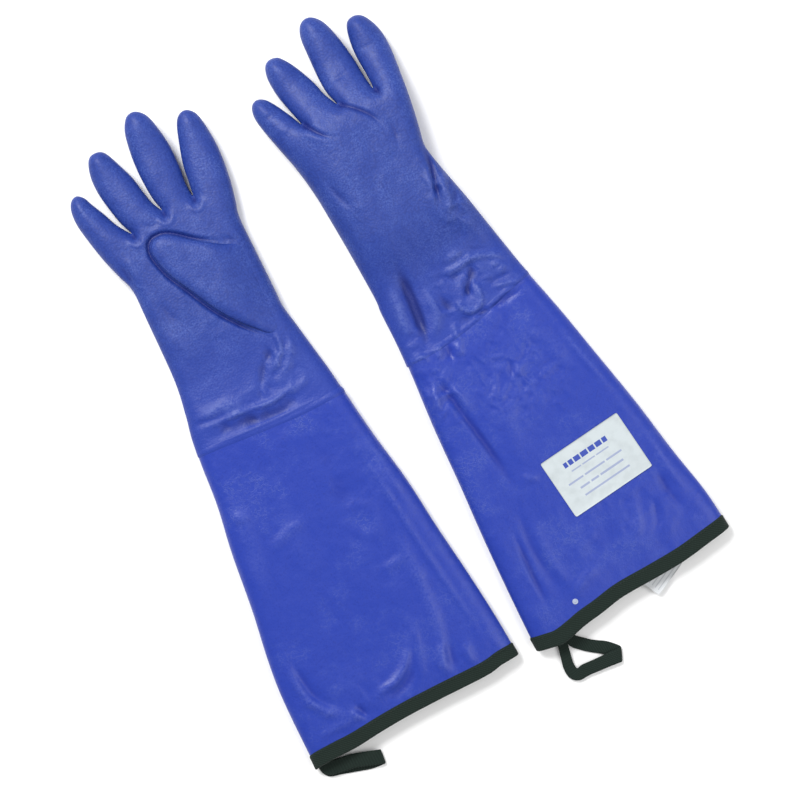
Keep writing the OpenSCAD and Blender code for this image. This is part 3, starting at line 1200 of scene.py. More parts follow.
RIGHT_FOLDS = (
    Fold(((3, 519), (4.5, 511), (9.5, 507.5), (14.5, 510), (16.5, 518)), 0.8, 2.2),
    Fold(((-28.5, 519), (-26.5, 511), (-21, 507.5), (-16, 510), (-14.5, 518)), 0.8, 2.2),
    Fold(((-62, 512), (-60.5, 505), (-55.5, 500.5), (-49.5, 502), (-47.5, 509)), 0.8, 2.2),
    Fold(((9.8, 526), (9.6, 519), (9.4, 512)), -2.4, 2.6),
    Fold(((-22, 526), (-21.6, 519), (-21, 512)), -2.4, 2.6),
    Fold(((-57.5, 517), (-56, 511), (-54.5, 505)), -2.4, 2.6),
    Fold(((20, 470.5), (-3, 484), (-20, 497), (-30, 502), (-41, 502), (-47.5, 496), (-49, 485),
          (-42.5, 463), (-30, 440), (-17, 416), (-2, 396), (10, 383), (21, 373)),
         -3.0, 1.8),
    Fold(((34, 466), (26, 470), (16, 477)), -1.0, 2.0),
    Fold(((26, 378), (25.5, 361), (16, 348), (5, 339)), 2.2, 3.4),
    Fold(((19, 374), (14, 361), (2, 349), (-14, 322)), -1.4, 3.4),
    Fold(((36, 372), (34, 358), (27, 344), (14, 334)), 1.4, 3.6),
    Fold(((-76, 334), (-50, 332), (-24, 331)), 2.0, 6.5),
    Fold(((-76, 322), (-50, 321), (-25, 320), (0, 318), (22, 324), (34, 329)), 2.0, 2.6),
    Fold(((-78, 312), (-48, 312), (-20, 309), (2, 308), (30, 315)), -1.9, 5.4),
    Fold(((-80, 305), (-60, 304), (-40, 303), (-10, 302), (20, 302), (45, 303)), 1.3, 1.8),
    Fold(((40, 330), (30, 322), (10, 318)), 1.6, 3.6),
    Fold(((-83, 328), (-66, 326), (-50, 324)), -1.0, 3.0),
    Fold(((-61, 449), (-54, 426), (-46, 418)), -0.9, 4.0),
    Fold(((-81, 493), (-76, 479), (-76, 468)), -1.4, 3.0),
    Fold(((-72, 500), (-68, 484), (-70, 466)), 1.0, 4.0),
    Fold(((-45, 520), (-38, 512), (-26, 514)), -0.7, 2.5),
    Fold(((-70, 420), (-56, 400), (-50, 372)), 0.7, 7.0),
    Fold(((50, 262), (58, 200), (68, 130), (78, 70), (82, 30)), 1.3, 3.0),
    Fold(((50, 170), (52, 120), (50, 70), (42, 26)), 1.6, 6.0),
    Fold(((-84, 238), (-66, 226)), 1.3, 5.0),
    Fold(((-66, 190), (-40, 202), (-16, 206)), 1.1, 5.0),
    Fold(((20, 132), (52, 136)), 1.1, 4.5),
    Fold(((30, 90), (24, 50), (14, 22)), 1.3, 4.5),
    Fold(((66, 275), (64, 230), (72, 180)), 0.9, 7.0),
    Fold(((-70, 260), (-76, 200), (-86, 140)), 1.1, 9.0),
    Fold(((-30, 250), (-36, 190), (-30, 130)), 0.8, 12.0),
    Fold(((15, 280), (20, 230), (14, 180)), -0.8, 10.0),
    Fold(((46, 52), (39, 28), (42, 18)), 2.3, 4.6),
    Fold(((54, 50), (49, 30), (52, 18)), -1.5, 4.6),
    Fold(((68, 44), (64, 26), (68, 17)), 1.4, 4.0),
    Fold(((20, 66), (14, 54), (3, 41), (-10, 33), (-24, 31), (-33, 23)), 2.3, 4.0),
    Fold(((16, 42), (4, 30), (-12, 23), (-24, 22)), -1.6, 4.6),
    Fold(((-50, 30), (-45, 14)), -2.2, 2.6),
    Fold(((-58, 28), (-50, 12)), 1.8, 3.0),
    Fold(((-91, 96), (-93, 77), (-87, 48), (-72, 30), (-58, 22)), 2.0, 4.6),
    Fold(((-88, 90), (-84, 60), (-76, 42), (-64, 34)), -1.7, 4.0),
    Fold(((-99, 17), (-77, 17), (-48, 19)), 1.0, 4.0),
)

LEFT_FOLDS = (
    Fold(((16.8, 521), (18, 512)), -1.6, 4.5),
    Fold(((-19, 525), (-15, 515)), -1.6, 4.5),
    Fold(((-57, 525), (-53, 514)), -1.6, 4.5),
    Fold(((-59, 536), (-56, 524), (-51, 512), (-44, 502), (-36, 496)), -2.6, 2.2),
    Fold(((-20, 532), (-16, 520), (-7, 510), (2, 498), (8, 482)), -2.4, 2.2),
    Fold(((17.5, 532), (18.5, 518), (20, 506)), -2.2, 2.2),
    Fold(((-64, 520), (-54, 506), (-45, 497)), 0.9, 3.0),
    Fold(((14, 492), (14, 476), (10, 460)), -1.2, 2.4),
    Fold(((22, 558), (34, 556), (46, 557)), -0.8, 2.2),
    Fold(((-18, 546), (-5, 544), (8, 546)), -0.8, 2.2),
    Fold(((-88, 545), (-76, 544), (-68, 546)), -1.0, 2.4),
    Fold(((-80, 532), (-74, 526), (-68, 530)), 0.9, 3.0),
    Fold(((31, 452), (27, 428), (20, 406), (14, 387)), -3.2, 2.8),
    Fold(((24, 436), (19, 416), (12, 398)), 1.5, 4.0),
    Fold(((35, 424), (28, 404), (25, 392), (15, 378)), 2.2, 3.0),
    Fold(((38, 402), (32, 392), (28, 378)), -1.4, 2.8),
    Fold(((-64, 470), (-61, 450), (-54, 428)), -1.1, 3.0),
    Fold(((-6, 347), (4, 348), (15, 351)), 2.2, 4.6),
    Fold(((-22, 343), (-4, 338), (18, 338), (34, 333), (47, 321)), 2.6, 3.4),
    Fold(((-20, 336), (-6, 331), (10, 331)), -1.4, 3.0),
    Fold(((19, 334), (7, 322), (-3, 310), (-8, 304)), -2.6, 3.0),
    Fold(((-14, 315), (-12, 300), (-2, 294), (7, 301), (12, 320)), 2.6, 3.0),
    Fold(((-34, 338), (-35, 318), (-38, 304), (-51, 289)), 2.0, 4.0),
    Fold(((-24, 330), (-24, 314), (-22, 302)), -1.5, 3.2),
    Fold(((19, 306), (36, 301), (50, 298)), 2.3, 3.0),
    Fold(((16, 313), (32, 309), (46, 310)), -1.6, 2.6),
    Fold(((30, 321), (36, 323), (41, 317), (34, 315)), 1.5, 2.2),
    Fold(((54, 297), (41, 291), (26, 289), (9, 289), (-7, 291), (-25, 294)), -1.5, 2.8),
    Fold(((-45, 366), (-48, 344), (-51, 320), (-56, 296), (-60, 284)), -3.8, 5.0),
    Fold(((-59, 356), (-64, 328), (-70, 300)), 2.6, 5.5),
    Fold(((-24, 296), (-29, 284), (-27, 270)), 1.7, 3.4),
    Fold(((-31, 279), (-36, 262)), 2.3, 4.2),
    Fold(((-46, 284), (-56, 270)), 2.0, 3.6),
    Fold(((-39, 280), (-46, 264)), -1.8, 3.2),
    Fold(((-78, 279), (-68, 281), (-62, 274)), 1.5, 3.0),
    Fold(((-70, 272), (-63, 241), (-60, 215), (-57, 190), (-54, 160), (-52, 130)), -2.6, 3.6),
    Fold(((-72, 252), (-78, 226)), 2.2, 3.8),
    Fold(((-58, 254), (-54, 234), (-51, 214)), 1.4, 3.6),
    Fold(((3, 240), (-5, 220)), -1.5, 2.6),
    Fold(((10, 238), (3, 218)), 1.0, 3.4),
    Fold(((59, 250), (61, 223), (66, 199), (71, 172)), 1.6, 4.6),
    Fold(((30, 270), (40, 235), (52, 205)), 1.0, 8.0),
    Fold(((-43, 137), (-27, 130)), 1.3, 4.0),
    Fold(((-20, 240), (-26, 190), (-34, 140)), 0.9, 10.0),
    Fold(((-74, 96), (-78, 56), (-80, 20)), -2.2, 2.6),
    Fold(((-60, 120), (-66, 70), (-62, 22)), -1.2, 4.0),
    Fold(((-52, 110), (-56, 60), (-50, 16)), 1.1, 5.0),
    Fold(((-55, 14), (-40, 27), (-18, 31)), 1.3, 5.0),
    Fold(((20, 34), (32, 50), (38, 72)), 1.5, 5.0),
    Fold(((38, 28), (50, 44), (56, 68)), -1.5, 4.0),
    Fold(((72, 84), (70, 60), (76, 34)), -1.5, 3.6),
    Fold(((84, 130), (80, 90), (86, 40)), 1.1, 6.0),
)

RIGHT_PATTERN = GlovePattern(
    side=Side.RIGHT,
    right_edge=((107, 0), (102, 50), (95, 100), (87, 150), (80, 200), (70, 250), (63, 290), (60, 310)),
    left_edge=((-110, 0), (-111, 60), (-108, 100), (-102, 150), (-97, 205), (-91, 250), (-88, 290),
               (-86, 310)),
    cuff=((-112, -12.5), (-104, -10), (-85, -8.5), (-65, -7.5), (-40, -4), (-10, -1), (30, 1), (72, 2.5),
          (90, 6), (112, 7.5)),
    hand=((72, 252), (66, 278), (61, 300), (57, 325), (52, 350), (48, 370), (43, 395), (42.5, 412),
          (41, 460), (41, 488), (44, 502), (48, 525), (49.8, 550), (49, 570), (46, 588), (42, 595),
          (36, 598.5), (29, 596.5), (23.5, 589), (17.5, 570), (13, 552), (11.3, 536), (9.8, 523), (8.4, 536),
          (9.6, 553), (9.3, 575), (6, 595), (2, 608), (-4, 615), (-10, 617), (-16.5, 614.5),
          (-22, 606), (-25, 595), (-27.4, 575), (-27.4, 555), (-25.5, 536), (-22, 523),
          (-27.5, 533), (-31, 546), (-34.6, 562), (-40.5, 577), (-46, 590), (-50.5, 595.5),
          (-57, 597), (-63, 595), (-67, 589), (-70, 577), (-70, 562), (-67, 545), (-62.5, 528),
          (-57, 515), (-66.5, 528), (-73, 542), (-79.5, 555), (-83, 563), (-89, 568), (-95.5, 565.5),
          (-99.5, 557), (-100, 543), (-96.5, 525), (-91, 503), (-84, 482), (-78.5, 466),
          (-78, 440), (-78, 375), (-82, 340), (-85.5, 320), (-88, 297), (-91.5, 252)),
    gaps=(((9.8, 523), (10, 553), (14, 620)), ((-22, 523), (-29, 550), (-37, 630)),
          ((-57, 515), (-70, 542), (-80, 600))),
    cuts=((29, 521), (-6, 524), (-39.5, 519.5), (-76, 510)),
    thumb=ThumbPattern(
        ((39, 378), (40, 425), (39, 462), (19, 468.5), (-2, 481), (-19, 494), (-30, 499.5),
         (-39, 499.5), (-45, 494), (-46.5, 485), (-40.5, 464.5), (-28, 441.5), (-15, 418),
         (-1, 399), (11, 386.5), (24, 375)),
        38.0, 4.0, 8.0, 9.0),
    folds=RIGHT_FOLDS,
    seam=((-92, 302), (-60, 301), (-20, 299), (20, 298), (65, 301)),
    crumples=(
        Crumple((-20, 322), (78, 24), 1.0, 13.0, 4),
        Crumple((-10, 440), (60, 90), 0.45, 15.0, 14),
        Crumple((20, 350), (28, 28), 1.2, 10.0, 24),
        Crumple((-60, 35), (62, 42), 1.0, 18.0, 34),
        Crumple((50, 200), (60, 130), 0.7, 26.0, 44),
    ),
)

LEFT_PATTERN = GlovePattern(
    side=Side.LEFT,
    right_edge=((103, 0), (101, 40), (94, 85), (87, 135), (79, 185), (69, 243), (60, 290), (56, 310)),
    left_edge=((-109, 0), (-106, 50), (-101, 108), (-95, 165), (-89.5, 225), (-84, 270),
               (-81, 300), (-80.5, 310)),
    cuff=((-111, -11), (-96, -14), (-86, -16), (-72, -14), (-58, -11), (-40, -9), (-15, -5.5), (20, -5.5),
          (50, -5), (80, -1.5), (106, 1.5)),
    hand=((72, 236), (63, 275), (58, 302), (55, 317), (51, 340), (46.5, 365), (42, 390), (37, 415),
          (33, 440), (32.5, 452), (36, 467), (40.5, 488), (45.5, 515), (49.5, 540), (50.8, 556), (49, 571),
          (44, 583), (38.5, 588), (32, 589), (26, 586), (21.5, 575), (18.6, 557), (18.2, 535),
          (16.8, 520), (15.4, 535), (15.4, 555), (13, 577), (9, 595), (4, 604), (-2, 608.5),
          (-8.5, 608.5), (-14, 604), (-18, 594), (-20, 577), (-22, 555), (-22, 538), (-19, 524),
          (-24.5, 538), (-28.2, 555), (-36, 576), (-43, 588), (-48, 591.5), (-54.5, 592),
          (-60, 588), (-63.5, 577), (-63.5, 560), (-60.5, 542), (-57, 524), (-62.5, 538),
          (-70, 554), (-76, 562.5), (-83, 565.5), (-89.5, 562), (-92.6, 551), (-90.5, 533),
          (-86.5, 513), (-82, 490), (-78.8, 462), (-78, 430), (-78, 355), (-80, 335), (-82, 300),
          (-86, 262), (-89, 236)),
    gaps=(((16.8, 520), (17, 555), (20, 620)), ((-19, 524), (-25, 555), (-32, 630)),
          ((-57, 524), (-66, 548), (-76, 600))),
    cuts=((32, 517), (-2, 520), (-38, 519), (-72, 512)),
    thumb=ThumbPattern(
        ((29, 384), (29, 425), (27, 462), (16, 476), (2, 484), (-14, 494), (-26, 499), (-38, 500),
         (-47, 497), (-51, 487), (-49, 475), (-38, 450), (-26, 430), (-14, 410), (-1, 396),
         (12, 386), (25, 380)),
        29.0, 0.0, 7.4, 11.0),
    folds=LEFT_FOLDS,
    seam=((-86, 283), (-60, 281), (-30, 283), (0, 288), (30, 296), (62, 303)),
    crumples=(
        Crumple((8, 316), (62, 48), 1.5, 13.0, 5),
        Crumple((26, 396), (24, 60), 1.5, 11.0, 15),
        Crumple((-66, 262), (28, 76), 1.2, 13.0, 25),
        Crumple((0, 225), (72, 64), 0.9, 9.0, 35),
        Crumple((20, 60), (90, 60), 0.9, 22.0, 45),
        Crumple((-20, 470), (60, 80), 0.35, 14.0, 55),
    ),
)
FINGERS = ("index", "middle", "ring", "little")


# ---------------------------------------------------------------- the soft pieces


@dataclass
class Skin:
    """Points of a soft surface and how they face.

    Attributes:
        points: Points in the glove's frame, mm.
        faces: Quads.
        facing: From 1 on the top face to -1 on the bottom face, for each point.
    """

    points: Array
    faces: Array
    facing: Array

    def part(self, keep: Array) -> tuple[Array, Array]:
        """Points used by some of the faces.

        Args:
            keep: Whether to keep each face.

        Returns:
            Numbers of the points used, and the kept faces renumbered.
        """
        faces = self.faces[keep]
        used, index = np.unique(faces, return_inverse=True)
        return used, index.reshape(faces.shape)


@dataclass
class Glove:
    """One glove: its hand, fingers, thumb, sleeve, seam ridge, binding and stitches.

    Attributes:
        pattern: The glove's pattern.
        finishes: The finishes to dress it with.
        bag_inset: Depth of the barrier bag below the outer skin, mm.
        liner_inset: Depth of the insulation and of the quilted lining, mm.
        hem: How far the binding reaches up the outside of the sleeve, mm.
        inner_hem: How far it reaches up the inside, mm.
        tape_wall: How far the binding stands out from the sleeve, mm.
        inner_wall: How far inside the sleeve's surface its inner face lies, mm.
        stitch_line: Distance of the stitches from the cuff edge, mm.
        stitch_pitch: Distance between stitches, mm.
        thread_radius: Radius of the thread, mm.
        ridge_reach: How far the seam ridge reaches to either side of the seam, mm.
        ridge_height: Height of the seam ridge, mm.
        ridge_sink: How far its edges sink into the skin, mm.
        round_points: Points on each rounded side of the ridge and the binding.
    """

    pattern: GlovePattern
    finishes: Finishes
    bag_inset: float = 1.3
    liner_inset: float = 2.6
    hem: float = 13.0
    inner_hem: float = 11.0
    tape_wall: float = 0.9
    inner_wall: float = 3.7
    stitch_line: float = 11.0
    stitch_pitch: float = 3.4
    thread_radius: float = 0.32
    ridge_reach: Point2 = (4.0, 3.6)
    ridge_height: float = 0.9
    ridge_sink: float = 0.35
    round_points: int = 40

    def __post_init__(self) -> None:
        """Finds the glove's frame and its name."""
        self.frame = GloveFrame.find(self.pattern.side)
        self.name = self.pattern.side.value

    @staticmethod
    def top_share(facing: Array) -> Array:
        """How fully each point carries the folds: 1 on the top face, 0 on the sides and below."""
        return smoothstep(0.1, 0.75, facing)

    def relief(self, points: Array, facing: Array) -> Array:
        """Height of the folds and crumples at each point of the outer surface, mm.

        Args:
            points: Points in the glove's frame, mm.
            facing: Facing of each point, from -1 to 1.

        Returns:
            One height a point, positive on a ridge and negative in a groove.
        """
        xy = points[:, :2]
        rise = np.zeros(len(points))
        for wave in self.pattern.folds + self.pattern.crumples:
            rise += wave.lift(xy)
        return rise * self.top_share(facing)

    def shade(self, obj: bpy.types.Object, points: Array, facing: Array) -> None:
        """Stores the relief on a piece, for its finish to paint shade into the hollows and a sheen onto the
        ridges.

        Args:
            obj: The piece.
            points: Its points in the glove's frame, mm.
            facing: Facing of each point, from -1 to 1.
        """
        layer = obj.data.attributes.new("relief", "FLOAT", "POINT")
        layer.data.foreach_set("value", self.relief(points, facing).astype(np.float32))

    def wrinkle(self, points: Array, facing: Array, scale: float = 1.0) -> Array:
        """Adds the folds and the small unevenness of cloth.

        Args:
            points: Points in the glove's frame, mm.
            facing: Facing of each point, from -1 to 1.
            scale: How much of it to add.

        Returns:
            The moved points.
        """
        out = points.copy()
        rise = np.zeros(len(points))
        seed = CLOTH_SEEDS[self.name]
        for k, (size, height, stretch) in enumerate(UNEVENNESS):
            rise += Noise(seed + k, size).at(points * np.array([1.0, stretch, 1.0])) * height
        out[:, 2] += (rise * self.top_share(facing) + self.relief(points, facing)) * scale
        size, height, stretch = SIDE_WOBBLE
        wobble = Noise(seed + len(UNEVENNESS), size).at(points * np.array([1.0, stretch, 1.0]))
        out[:, 0] += wobble * height * scale * (1.0 - np.abs(facing))
        return out

    def drift(self, y: Array, x: Array) -> Array:
        """How far a ring of the sleeve departs from its nominal place.

        Args:
            y: Nominal place of the ring, mm.
            x: Places across the glove, mm.

        Returns:
            One distance a place, mm.
        """
        near_cuff = (1.0 - np.clip(y / SEAM_Y, 0.0, 1.0)) ** 2
        near_seam = np.clip(y / SEAM_Y, 0.0, 1.0) ** 2
        return self.pattern.cuff_at(x) * near_cuff + (self.pattern.seam_at(x) - SEAM_Y) * near_seam

    def section(self, y: Array, around: int, inset: float) -> tuple[Array, Array]:
        """Rings of points round the sleeve.

        Args:
            y: Nominal place of each ring, mm.
            around: Points on each rounded side; the flats take four times as many.
            inset: How far inside the outer surface, mm.

        Returns:
            Points, rings x round x 3, and the facing of each.
        """
        drift = self.drift
        left, right = self.pattern.edges(y)
        left = self.pattern.edges(y + drift(y, left))[0] + inset
        right = self.pattern.edges(y + drift(y, right))[1] - inset
        turn = max(SIDE_ROUND - inset, 3.0)
        half = self.pattern.half_height(y) - inset
        arc = (np.arange(around) + 0.5) / around * math.pi - math.pi / 2
        flat = (np.arange(4 * around) + 0.5) / (4 * around)
        rows_x, rows_s = [], []
        for low, high in zip(left, right):
            a, b = low + turn, high - turn
            rows_x.append(np.concatenate([
                b + turn * np.cos(arc), b + (a - b) * flat, a - turn * np.cos(arc), a + (b - a) * flat]))
            rows_s.append(np.concatenate([
                np.sin(arc), np.ones(len(flat)), np.sin(-arc), -np.ones(len(flat))]))
        x, facing = np.array(rows_x), np.array(rows_s)
        yy = y[:, None] + drift(y[:, None], x)
        z = half[:, None] * facing + (self.pattern.half_height(y) + self.pattern.gap(y))[:, None]
        return np.stack([x, yy, z], -1), facing

    def sleeve_skin(self, y: Array, around: int, inset: float, scale: float = 1.0) -> Skin:
        """Wrinkled surface of the sleeve.

        Args:
            y: Nominal place of each ring, mm.
            around: Points on each rounded side.
            inset: How far inside the outer surface, mm.
            scale: How much of the wrinkles to add.

        Returns:
            The surface.
        """
        grid, facing = self.section(y, around, inset)
        points = self.wrinkle(grid.reshape(-1, 3), facing.reshape(-1), scale)
        return Skin(points, grid_faces(len(y), grid.shape[1], True), facing.reshape(-1))

    def hand_skin(self, step: float, inset: float) -> Skin:
        """Wrinkled surface of the hand and the fingers.

        Args:
            step: Distance between points, mm.
            inset: How far inside the outer surface, mm.

        Returns:
            The surface.
        """
        plan = Plan.cut(spline(self.pattern.hand, step, True), step, RIM_DEPTHS)
        facing = plan.facing(SIDE_ROUND)
        x, y = plan.xy.T
        points = np.column_stack([x, y, self.pattern.middle(x, y) + self.pattern.half_height(y) * facing])
        points = relax(points, plan.faces, 6, smoothstep(1.5, 7.0, plan.depth))
        points = self.wrinkle(points, facing)
        normals = point_normals(points, plan.faces)
        points -= normals * inset
        if inset > 0.0:
            points[:, 2] -= INNER_DROP * smoothstep(0.2, 0.8, facing)
        return Skin(points, plan.faces, facing)

    def sort_faces(self, skin: Skin) -> Array:
        """Tells which piece each face of the hand belongs to.

        Args:
            skin: Surface of the hand and the fingers.

        Returns:
            One number a face: -1 for none, 0 for the hand, 1 to 4 for the fingers.
        """
        middle = skin.points[skin.faces].mean(1)
        x, y = middle[:, 0], middle[:, 1]
        piece = np.zeros(len(middle), int)
        borders = [np.interp(y, [p[1] for p in g], [p[0] for p in g]) for g in self.pattern.gaps]
        finger = 1 + sum((x < border).astype(int) for border in borders)
        for k in range(len(FINGERS)):
            start, along = self.finger_line(k)
            past = (x - start[0]) * along[0] + (y - start[1]) * along[1] > 0
            piece[(finger == k + 1) & past] = k + 1
        piece[y < self.pattern.seam_at(x) - 3.0] = -1
        return piece

    def finger_line(self, k: int) -> tuple[Array, Array]:
        """Where a finger's own piece begins.

        Args:
            k: Number of the finger, from the index's 0.

        Returns:
            Start of the piece and the finger's direction.
        """
        angle = math.radians(FINGER_SLANTS[self.name][k])
        return np.array(self.pattern.cuts[k]), np.array([-math.sin(angle), math.cos(angle)])

    def layer(self, skin: Skin, suffix: str, finish: bpy.types.Material, slot: str, nodes: str) -> None:
        """Makes the hand and finger pieces of one layer.

        Args:
            skin: The layer's surface.
            suffix: Ending of the pieces' names.
            finish: Material.
            slot: Not used.
            nodes: Ending of the CAD nodes that the pieces stand for.
        """
        piece = self.sort_faces(skin)
        normals = point_normals(skin.points, skin.faces)
        row = self.frame.to_row(skin.points)
        turned = self.frame.to_row(skin.points + normals) - row
        turned /= np.linalg.norm(turned, axis=1)[:, None]
        for k, name in enumerate(("hand",) + FINGERS):
            used, faces = skin.part(piece == k)
            obj = mesh_object(f"{self.name}_{name}_{suffix}", row[used], faces, finish)
            obj.data.normals_split_custom_set_from_vertices(turned[used].tolist())
            self.shade(obj, skin.points[used], skin.facing[used])
            replaced = [f"{self.name}_{name}_{nodes}"]
            if k == 0:
                self.frame.body("forearm")
                self.frame.body("hand")
                self.frame.point(WRIST_LOCAL[0], WRIST_BLEND[0])
                self.frame.point(WRIST_LOCAL[0], WRIST_BLEND[1])
                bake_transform(obj)
                if nodes != "barrier":
                    replaced.append(f"{self.name}_gauntlet_{nodes}")
            else:
                start, along = self.finger_line(k - 1)
                a, b = start + along * 2.0, start + along * 34.0
                self.frame.body("hand")
                self.frame.body(name)
                self.frame.point(*a)
                self.frame.point(*b)
                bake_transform(obj)
            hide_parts(*replaced)

    def palm_top(self, xy: Array) -> Array:
        """Height of the top of the hand above the table, before its folds.

        Args:
            xy: Points, n x 2.

        Returns:
            One height a point, mm.
        """
        edge = spline(self.pattern.hand, 2.5, True)
        depth = nearest_on_path(xy, edge, True)[0] * inside(xy, edge)
        sunk = 1.0 - np.clip(depth / SIDE_ROUND, 0.0, 1.0)
        x, y = xy.T
        return self.pattern.middle(x, y) + self.pattern.half_height(y) * np.sqrt(1.0 - sunk**2)

    def thumb_skin(self, step: float, inset: float) -> Skin:
        """Surface of the thumb: a low swelling on the palm, or a flat pad under it.

        Args:
            step: Distance between points, mm.
            inset: How far inside the outer surface, mm.

        Returns:
            The surface.
        """
        thumb = self.pattern.thumb
        edge = spline(thumb.outline, step, True)
        edge = edge + inward(edge) * inset
        plan = Plan.cut(edge, step, RIM_DEPTHS)
        rounding = thumb.rounding - inset
        facing = plan.facing(rounding)
        x, y = plan.xy.T
        free = smoothstep(thumb.root_x, thumb.free_x, x)
        if self.pattern.side is Side.RIGHT:
            base = self.palm_top(plan.xy)
            lifted = self.wrinkle(np.column_stack([x, y, base]), np.ones(len(base)))[:, 2]
            swell = (thumb.height - 1.4 * inset) * free
            rim_share = 0.25
            rise = rim_share + np.where(facing > 0, 1.0 - rim_share, 0.22) * facing
            root = 0.9 + 1.2 * inset + (ROOT_DEPTH / 2 - 1.2 * inset) * (1.0 - facing)
            z = lifted + (0.3 + 0.6 * inset) * free - root * (1.0 - free) + swell * rise
        else:
            root_lift, table_gap = 5.5, 0.4
            root = root_lift * (1.0 - free)
            z = thumb.height + table_gap + root + (thumb.height - inset) * facing
            z += Noise(5, 16.0).at(np.column_stack([x, y, facing * 10.0])) * 0.5 * np.abs(facing)
        points = relax(np.column_stack([x, y, z]), plan.faces, 4, smoothstep(1.0, 5.0, plan.depth))
        return Skin(points, plan.faces, facing)

    def thumb_layer(
        self, skin: Skin, suffix: str, finish: bpy.types.Material, nodes: str
    ) -> None:
        """Makes the thumb's piece of one layer.

        Args:
            skin: The layer's surface.
            suffix: Ending of the piece's name.
            finish: Material.
            nodes: Ending of the CAD node that the piece stands for.
        """
        thumb = self.pattern.thumb
        obj = mesh_object(
            f"{self.name}_thumb_{suffix}", self.frame.to_row(skin.points), skin.faces, finish)
        self.frame.body("hand")
        self.frame.body("thumb")
        self.frame.point(thumb.root_x + 1, THUMB_Y)
        self.frame.point(thumb.free_x + 8, THUMB_Y)
        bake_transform(obj)
        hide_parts(f"{self.name}_thumb_{nodes}")

    def build_hand(self) -> None:
        """Makes the dipped skin, the barrier and the insulation of the hand."""
        fine = 1.7
        layers = (
            (fine, 0.0, "skin", self.finishes.dipped, "dipped_shell", "shell"),
            (4.0, self.bag_inset, "barrier_bag", self.finishes.film, "barrier_film", "barrier"),
            (4.0, self.liner_inset, "insulation", self.finishes.fleece, "insulation", "liner"),
        )
        for step, inset, suffix, finish, slot, nodes in layers:
            self.layer(self.hand_skin(step, inset), suffix, finish, slot, nodes)
            self.thumb_layer(self.thumb_skin(min(step, 3.0), inset), suffix, finish, nodes)

    def bend_sleeve(self, obj: bpy.types.Object) -> None:
        """Bakes a piece's transform into its mesh.

        Args:
            obj: The piece.
        """
        self.frame.body("forearm")
        self.frame.body("cuff")
        self.frame.point(FOLD_X, FOLD_Y)
        self.frame.point(FOLD_X, FOLD_Y - FOLD_SPAN)
        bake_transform(obj)

    def build_sleeve(self) -> None:
        """Makes the coated sleeve and its lining."""
        around = 26
        y = np.linspace(3.0, SEAM_Y + 3.0, 160)
        skin = self.sleeve_skin(y, around, 0.0)
        obj = mesh_object(
            f"{self.name}_sleeve_skin", self.frame.to_row(skin.points), skin.faces, self.finishes.coated)
        self.shade(obj, skin.points, skin.facing)
        self.bend_sleeve(obj)
        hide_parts(f"{self.name}_sleeve_shell", f"{self.name}_cuff_shell")
        inner = self.sleeve_skin(np.linspace(6.0, SEAM_Y - 6.0, 70), 12, self.liner_inset, 0.7)
        lining = mesh_object(
            f"{self.name}_quilted_lining", self.frame.to_row(inner.points), inner.faces[:, ::-1],
            self.finishes.lining)
        self.bend_sleeve(lining)
        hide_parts(f"{self.name}_sleeve_lining", f"{self.name}_cuff_lining")

    def build_band(self) -> None:
        """Makes the taped ridge over the seam between the sleeve and the hand."""
        y = np.linspace(SEAM_Y - self.ridge_reach[0], SEAM_Y + self.ridge_reach[1], 12)
        crown = np.sin(np.linspace(0.0, math.pi, len(y)))
        grid, facing = self.section(y, self.round_points, -0.1)
        points = self.wrinkle(grid.reshape(-1, 3), facing.reshape(-1)).reshape(grid.shape)
        faces = grid_faces(len(y), grid.shape[1], True)
        normals = point_normals(points.reshape(-1, 3), faces).reshape(grid.shape)
        outward = np.sign((normals * (points - points.mean((0, 1)))).sum()) or 1.0
        points += normals * outward * (self.ridge_height * crown - self.ridge_sink)[:, None, None]
        obj = mesh_object(
            f"{self.name}_seam_ridge", self.frame.to_row(points.reshape(-1, 3)), faces,
            self.finishes.dipped)
        self.shade(obj, points.reshape(-1, 3), facing.reshape(-1))
        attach(obj, self.frame.body("forearm"))
        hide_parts(f"{self.name}_seam_band")

    def build_binding(self) -> None:
        """Makes the tape wrapped over the cuff edge, inside and out."""
        lip, drop, half_wall = 0.6, 1.6, 2.3
        rows = [(y, -self.tape_wall) for y in np.linspace(self.hem, lip, 14)]
        rows += [(-drop * math.sin(a) + lip, -self.tape_wall + half_wall * (1 - math.cos(a)))
                 for a in np.linspace(0.0, math.pi, 9)[1:-1]]
        rows += [(y, self.inner_wall) for y in np.linspace(lip, self.inner_hem, 10)]
        rings = []
        for y, inset in rows:
            grid, facing = self.section(np.array([max(y, 0.0)]), self.round_points, inset)
            ring = self.wrinkle(grid[0], facing[0], 0.9)
            ring[:, 1] += min(y, 0.0)
            rings.append(ring)
        points = np.array(rings)
        count = points.shape[1]
        hem = np.zeros(len(rows))
        hem[0], hem[1], hem[2] = 0.75, 0.1, -0.25
        faces = grid_faces(len(rows), count, True)
        normals = point_normals(points.reshape(-1, 3), faces).reshape(points.shape)
        points -= normals * hem[:, None, None]
        obj = mesh_object(
            f"{self.name}_binding_tape", self.frame.to_row(points.reshape(-1, 3)), faces,
            self.finishes.tape)
        self.add_uv(obj, points.reshape(-1, 3), count)
        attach(obj, self.frame.body("cuff"))
        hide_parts(f"{self.name}_cuff_binding")

